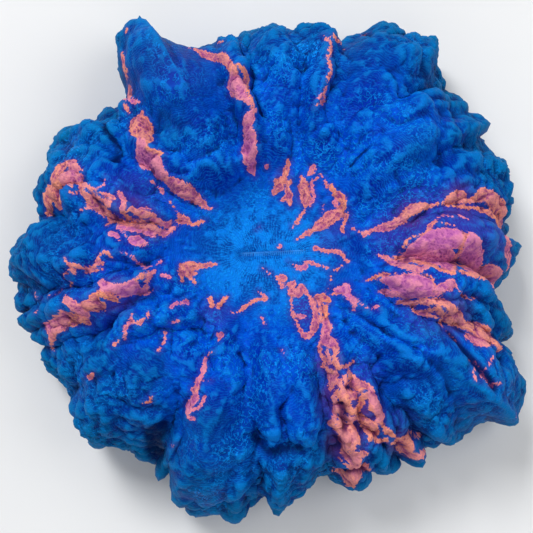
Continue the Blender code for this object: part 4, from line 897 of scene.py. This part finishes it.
def make_polyp():
    """The polyp over the CAD solid's box, and where its mouth stands over the floor."""
    noise.seed_set(WANDER_SEED)
    corners, faces, last_ring = cage()
    points, lie = flesh(corners)
    foot_middle = len(points)
    points = np.vstack([points, [[*points[last_ring, :2].mean(axis=0), 0]]])
    lie = {name: np.concatenate([values, values[-1:]]) for name, values in lie.items()}
    lie["foot"][-1] = 0
    sole = [(int(b), int(a), foot_middle) for a, b in zip(last_ring, np.roll(last_ring, -1))]
    mesh = bpy.data.meshes.new("polyp_flesh")
    mesh.from_pydata(points.tolist(), [], faces.tolist() + sole)
    mesh.update()
    edges = mesh_edges(mesh)
    points = puff_up(mesh, points, edges, lie)
    points = add_ribbons(mesh, points, lie)
    paint_flesh(mesh, points, edges, lie)

    lowest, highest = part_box("coral_polyp")
    middle = (points.min(axis=0) + points.max(axis=0)) / 2
    offset = np.array([(lowest.x + highest.x) / 2, (lowest.y + highest.y) / 2, 0])
    set_points(mesh, (points - [middle[0], middle[1], 0]) * METRES_PER_MM + offset)
    mesh.shade_smooth()
    polyp = bpy.data.objects.new("polyp", mesh)
    bpy.context.scene.collection.objects.link(polyp)
    mouth = offset - [middle[0] * METRES_PER_MM, middle[1] * METRES_PER_MM, 0]
    return polyp, Vector(mouth)


# ---------------------------------------------------------------------------------------------
# Materials.

def srgb(red, green, blue):
    """A colour given as it looks on screen, 0 to 255, in the linear values that Blender uses."""
    shares = [channel / 255 for channel in (red, green, blue)]
    linear = [s / 12.92 if s <= 0.04045 else ((s + 0.055) / 1.055) ** 2.4 for s in shares]
    return (*linear, 1.0)


LOBE_BLUES = srgb(0, 42, 164), srgb(0, 84, 214)           # in the middle of a lobe, at its edge
LOBE_SHADE = srgb(0, 42, 152)
# darker blue, partly the flesh's own tone and partly painted shade
DARK_TONE_AND_SHADE_BLUE = srgb(0, 40, 130)
DISC_BLUES = srgb(0, 58, 142), srgb(6, 124, 228)          # dark and bright cloud
DISC_SHADE = srgb(0, 60, 150)
RIM_TEALS = srgb(0, 44, 98), srgb(0, 98, 156)             # dark and bright cloud
PURPLE, VIOLET, PLUM = srgb(52, 44, 150), srgb(54, 52, 172), srgb(104, 52, 116)
PALE_BLUE = srgb(16, 144, 244)
LINE_BLUE = srgb(10, 146, 246)
LIP_BLUE = srgb(84, 168, 252)
# painted highlight: lighter blue laid on the crests and on the fine crests
CREST_HIGHLIGHTS = srgb(2, 126, 222), srgb(0, 112, 172)             # on blue flesh, on turquoise flesh
FINE_CREST_HIGHLIGHTS = srgb(16, 146, 238), srgb(6, 132, 190)       # on blue flesh, on turquoise flesh
# painted shade: darker blue for the fine creases
FINE_CREASE_SHADE = srgb(0, 30, 110)
RIBBON_CELLS = srgb(150, 62, 116), srgb(168, 84, 162)     # here and below: orange, pink ribbons
RIBBON_THREADS = srgb(255, 162, 118), srgb(250, 150, 204)
RIBBON_BORDERS = srgb(255, 150, 108), srgb(252, 146, 150)
# painted highlight on the ribbons' crests
RIBBON_CREST_HIGHLIGHTS = srgb(255, 170, 128), srgb(255, 164, 176)
RIBBON_BROAD_SHADE, RIBBON_SHADE = srgb(142, 68, 138), srgb(132, 64, 136)
# painted shade in the ribbons' creases
RIBBON_CREASE_SHADE = srgb(96, 38, 96)
# painted shade for the creases, clefts and valleys
HOLLOW_SHADES = srgb(0, 14, 62), srgb(76, 28, 76)          # in the blue flesh, in the ribbons
FLOOR_TONES = srgb(226, 227, 228), srgb(234, 235, 236)

FLESH_CLOUDS = [(9.0, 2), (2.2, 3), (0.6, 2)]             # broad, middling, grain: size, detail
FLOOR_CLOUD = (40.0, 3)
THREAD_RELIEF, GRAIN_RELIEF = 0.12, 0.25                  # mm
FLESH_ROUGHNESS = (0.42, 0.62)
FLESH_SPECULAR = 0.03


class Value:
    """A number worked out at every point of a surface. Arithmetic on it adds nodes."""

    def __init__(self, graph, socket):
        self.graph, self.socket = graph, socket

    def __add__(self, other):
        return self.graph.math("ADD", self, other)

    def __sub__(self, other):
        return self.graph.math("SUBTRACT", self, other)

    def __rsub__(self, other):
        return self.graph.math("SUBTRACT", other, self)

    def __mul__(self, other):
        return self.graph.math("MULTIPLY", self, other)

    def __abs__(self):
        return self.graph.math("ABSOLUTE", self)

    def span(self, low, high, start=0.0, end=1.0):
        """Brought from low..high to start..end, with soft ends."""
        ends = {"From Min": low, "From Max": high, "To Min": start, "To Max": end}
        node = self.graph.node("ShaderNodeMapRange", {"Value": self, **ends}, interpolation_type="SMOOTHSTEP")
        return Value(self.graph, node.outputs["Result"])

    def wave(self, low=-0.5, high=0.9):
        """0 to 1 and back once every 2 pi."""
        return self.graph.math("SINE", self).span(low, high)


class Graph:
    """Short calls for building a material's nodes."""

    def __init__(self, material):
        material.use_nodes = True
        self.nodes, self.links = material.node_tree.nodes, material.node_tree.links
        self.shader = self.nodes["Principled BSDF"]
        where = self.nodes.new("ShaderNodeTexCoord").outputs["Object"]
        scale = [1 / METRES_PER_MM] * 3
        in_mm = self.node("ShaderNodeVectorMath", {0: Value(self, where), 1: scale}, operation="MULTIPLY")
        self.place = Value(self, in_mm.outputs["Vector"])

    def feed(self, inputs, values):
        for name, value in values.items():
            if isinstance(value, Value):
                self.links.new(value.socket, inputs[name])
            else:
                inputs[name].default_value = value

    def node(self, kind, values, **settings):
        node = self.nodes.new(kind)
        for name, setting in settings.items():
            setattr(node, name, setting)
        self.feed(node.inputs, values)
        return node

    def math(self, operation, *values):
        node = self.node("ShaderNodeMath", dict(enumerate(values)), operation=operation)
        return Value(self, node.outputs[0])

    def most(self, first, *others):
        for other in others:
            first = self.math("MAXIMUM", first, other)
        return first

    def mix(self, factor, first, second):
        values = {"Factor": factor, "A": first, "B": second}
        return Value(self, self.node("ShaderNodeMix", values, data_type="RGBA").outputs["Result"])

    def attribute(self, name):
        return Value(self, self.node("ShaderNodeAttribute", {}, attribute_name=name).outputs["Fac"])

    def noise(self, size, detail):
        """Cloudy noise from 0 to 1, with patches of about this size in mm."""
        values = {"Vector": self.place, "Scale": 1 / size, "Detail": detail}
        return Value(self, self.node("ShaderNodeTexNoise", values).outputs["Fac"])

    def veins(self, size, width):
        """Thin winding lines, about two thirds of this size apart."""
        return abs(self.noise(size, 1) - 0.5).span(width, 0.0)


class FleshGraph(Graph):
    """The flesh's nodes, with what all of its parts go by: clouds of three sizes and painted values."""

    def __init__(self, material):
        super().__init__(material)
        self.broad, self.middling, self.grain = (self.noise(*cloud) for cloud in FLESH_CLOUDS)
        self.teal, self.crease, self.fine_crease, self.ribbon, self.pink = (
            self.attribute(name) for name in ("teal", "crease", "fine_crease", "ribbon", "pink"))


def flesh_lines(g):
    """Winding wrinkles over the lobes, strong in patches, and lines that fan out over the disc."""
    patchy = (g.broad - g.teal * 0.1).span(0.40, 0.60, 0.1, 1.0)
    winding = g.veins(1.0, 0.075) * patchy
    from_mouth = g.attribute("from_mouth")
    arcs = (from_mouth * 10.5 + (g.broad * 60.0 + g.middling * 26.0)).wave(0.0, 1.0)
    arcs = arcs * ((1.0 - patchy) * 0.3)
    fan = (g.attribute("fan") * 84.0 + (g.middling * 20.0 + g.broad * 20.0)).wave(-0.9, 0.9)
    fan = fan * g.grain.span(0.3, 0.6, 0.4, 1.0)
    on_disc = from_mouth.span(12.0, 4.0, 0.0, 0.8)
    return (winding + arcs) * (1.0 - on_disc * 0.5) + fan * on_disc * 0.5


def blue_flesh(g, lines):
    """Blue lobes, deep in the middle and brighter towards the edge, a pale disc and a turquoise rim."""
    tone = g.attribute("edge") + (g.broad - 0.5) * 1.6
    colour = g.mix(tone.span(0.1, 1.0), *LOBE_BLUES)
    colour = g.mix(g.middling.span(0.42, 0.68, 0.0, 0.45), colour, LOBE_SHADE)
    # darker blue patches: partly the flesh's own tone, partly painted shade
    colour = g.mix(g.attribute("deep") * 0.8, colour, DARK_TONE_AND_SHADE_BLUE)
    mottle = g.middling + (g.broad - 0.5) * 1.2
    disc = g.mix(mottle.span(0.39, 0.6), *DISC_BLUES)
    disc = g.mix(g.grain.span(0.45, 0.7, 0.0, 0.3), disc, DISC_SHADE)
    colour = g.mix(g.attribute("disc") * 0.85, colour, disc)
    rim = g.mix(g.middling.span(0.35, 0.65), *RIM_TEALS)
    colour = g.mix(g.teal * g.broad.span(0.3, 0.6, 0.7, 1.0), colour, rim)
    veil = g.attribute("purple") * g.broad.span(0.3, 0.6, 0.6, 1.0)
    colour = g.mix(veil, colour, PURPLE)
    colour = g.mix(g.attribute("pale") * (lines + g.grain).span(0.4, 1.4), colour, PALE_BLUE)
    colour = g.mix(lines * 0.6, colour, LINE_BLUE)
    # painted highlight: lighter blue on the crests and on the fine crests
    colour = g.mix(g.crease.span(-0.1, -1.0, 0.0, 0.34), colour, g.mix(g.teal, *CREST_HIGHLIGHTS))
    colour = g.mix(g.fine_crease.span(-0.3, -1.0, 0.0, 0.30), colour, g.mix(g.teal, *FINE_CREST_HIGHLIGHTS))
    # painted shade: darker blue in the fine creases
    colour = g.mix(g.fine_crease.span(0.0, 1.0, 0.0, 0.5), colour, FINE_CREASE_SHADE)
    colour = g.mix(veil * 0.35, colour, VIOLET)
    return g.mix(g.attribute("plum") * g.middling.span(0.35, 0.6, 0.5, 1.0), colour, PLUM)


def slit_lips(g):
    """How strongly the slit's pale lips and the comb of short lines across them show."""
    along, across = g.attribute("lip_x"), g.attribute("lip_y")
    comb = (along * 14.0).wave() * abs(across).span(0.5, 0.2)
    lip = abs(across - 0.35).span(0.2, 0.05)
    return g.most(comb * 0.3, lip * 0.45) * abs(along - 0.8).span(7.8, 6.0)


def ribbon_threads(g, across):
    """Bright threads: across the ribbons, in a net over them and along their borders."""
    net = g.most(g.veins(1.5, 0.07), g.veins(0.8, 0.06) * 0.6)
    contour = (g.ribbon * 8.0 + g.middling * 22.0).wave(-0.1, 0.9)
    threads = g.most(across * (0.45 - g.pink * 0.1), net * (0.9 - g.pink * 0.4),
                     contour * (0.85 - g.pink * 0.45))
    return threads * g.middling.span(0.6, 0.4, 0.55, 1.0)


def ribbon_flesh(g, threads, depth):
    """Pink cells between the threads, with bright borders, a painted highlight on their crests and painted
    shade in their creases.
    """
    colour = g.mix(g.pink, *RIBBON_CELLS)
    colour = g.mix(g.broad.span(0.35, 0.65, 0.0, 0.45), colour, RIBBON_BROAD_SHADE)
    colour = g.mix(threads * 0.9, colour, g.mix(g.pink, *RIBBON_THREADS))
    colour = g.mix(g.middling.span(0.52, 0.7, 0.0, 0.3), colour, RIBBON_SHADE)
    colour = g.mix(depth.span(0.34, 0.1, 0.0, 0.75), colour, g.mix(g.pink, *RIBBON_BORDERS))
    # painted highlight: brighter on the fine crests
    colour = g.mix(g.fine_crease.span(-0.2, -1.0, 0.0, 0.4), colour, g.mix(g.pink, *RIBBON_CREST_HIGHLIGHTS))
    # painted shade: dark purple in the fine creases
    return g.mix(g.fine_crease.span(0.0, 1.0, 0.0, 0.7), colour, RIBBON_CREASE_SHADE)


def flesh_material():
    material = bpy.data.materials.new("coral_flesh")
    g = FleshGraph(material)
    lines = flesh_lines(g)
    colour = g.mix(slit_lips(g), blue_flesh(g, lines), LIP_BLUE)

    # ragged borders: depth is above 0 inside the ribbons
    across = (g.attribute("along") * 6.2 + g.middling * 22.0).wave(-0.4, 0.9)
    depth = g.ribbon + ((g.middling - 0.5) * 1.5 + (g.grain - 0.5) * 0.4 + (across - 0.5) * 0.2)
    in_ribbon = depth.span(-0.12, 0.12)
    threads = ribbon_threads(g, across)
    colour = g.mix(depth.span(-1.2, 0.0, 0.0, 0.4), colour, PURPLE)
    colour = g.mix(in_ribbon, colour, ribbon_flesh(g, threads, depth))

    # painted shade: darken the creases, clefts and broad valleys
    hollow = g.most(g.crease.span(0.15, 1.0, 0.0, 0.75), g.attribute("cleft").span(0.3, 1.4, 0.0, 0.8),
                    g.attribute("valley").span(0.2, 1.0, 0.0, 0.6))
    colour = g.mix(hollow, colour, g.mix(in_ribbon, *HOLLOW_SHADES))
    relief = g.mix(in_ribbon, lines, threads) * THREAD_RELIEF + g.grain * GRAIN_RELIEF
    bump = g.node("ShaderNodeBump", {"Distance": METRES_PER_MM, "Height": relief})
    g.feed(g.shader.inputs, {
        "Base Color": colour, "Normal": Value(g, bump.outputs["Normal"]),
        "Roughness": g.middling.span(0.3, 0.7, *FLESH_ROUGHNESS), "Specular IOR Level": FLESH_SPECULAR})
    return material


def floor_material():
    material = bpy.data.materials.new("pale_floor")
    g = Graph(material)
    tone = g.mix(g.noise(*FLOOR_CLOUD), *FLOOR_TONES)
    g.feed(g.shader.inputs, {"Base Color": tone, "Roughness": 0.8, "Specular IOR Level": 0.2})
    return material


# ---------------------------------------------------------------------------------------------
# Stage: floor, light and camera.

FLOOR_SIZE = 4.0             # metres
SENSOR_WIDTH = 36.0          # mm
CAMERA_LENS = 67.54          # mm
CAMERA_OFFSET = Vector((-0.0072, -0.02595, 0.2478))   # from the floor under the mouth
CAMERA_REACH = (0.01, 10.0)  # nearest and farthest that it sees, in metres
WORLD_COLOUR = (1, 1, 1, 1)
WORLD_STRENGTH = 0.28
LAMPS = [                    # place in metres, size in metres, power in watts
    ((-0.48, 0.66, 0.98), 0.46, 11.8),
    ((0.45, 0.10, 0.60), 0.50, 1.7),
    ((0.0, -0.50, 0.50), 0.60, 1.0),
]


def look_from(place, target):
    """A camera or lamp's matrix: at place, facing target, with +Y upwards in its view."""
    ahead = (target - place).normalized()
    right = ahead.cross(Vector((0, 1, 0))).normalized()
    above = right.cross(ahead)
    return Matrix.Translation(place) @ Matrix((right, above, -ahead)).transposed().to_4x4()


def put(name, data, place, target):
    """A lamp or camera in the scene, at place and facing target."""
    thing = bpy.data.objects.new(name, data)
    thing.matrix_world = look_from(place, target)
    bpy.context.scene.collection.objects.link(thing)
    return thing


def make_floor():
    bpy.ops.mesh.primitive_plane_add(size=FLOOR_SIZE)
    floor = bpy.context.object
    floor.name = "floor"
    floor.data.materials.append(floor_material())


def make_lights(target):
    world = bpy.data.worlds.new("studio")
    world.use_nodes = True
    background = world.node_tree.nodes["Background"]
    background.inputs["Color"].default_value = WORLD_COLOUR
    background.inputs["Strength"].default_value = WORLD_STRENGTH
    bpy.context.scene.world = world
    for number, (place, size, power) in enumerate(LAMPS):
        light = bpy.data.lights.new(f"lamp_{number}", "AREA")
        light.size, light.energy = size, power
        put(f"lamp_{number}", light, Vector(place), target)


def make_camera(target):
    lens = bpy.data.cameras.new("camera")
    lens.lens, lens.sensor_width = CAMERA_LENS, SENSOR_WIDTH
    lens.clip_start, lens.clip_end = CAMERA_REACH
    bpy.context.scene.camera = put("camera", lens, target + CAMERA_OFFSET, target)
    bpy.context.scene.view_settings.view_transform = "Standard"


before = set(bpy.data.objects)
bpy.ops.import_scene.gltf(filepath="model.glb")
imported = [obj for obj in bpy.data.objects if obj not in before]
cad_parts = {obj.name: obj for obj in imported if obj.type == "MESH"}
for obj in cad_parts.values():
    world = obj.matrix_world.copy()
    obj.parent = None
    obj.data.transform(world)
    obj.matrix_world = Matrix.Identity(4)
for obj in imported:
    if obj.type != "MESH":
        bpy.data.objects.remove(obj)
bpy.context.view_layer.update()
polyp, mouth_foot = make_polyp()
polyp.data.materials.append(flesh_material())
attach(polyp, "root")
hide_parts("coral_polyp")
make_floor()
make_lights(mouth_foot)
make_camera(mouth_foot)
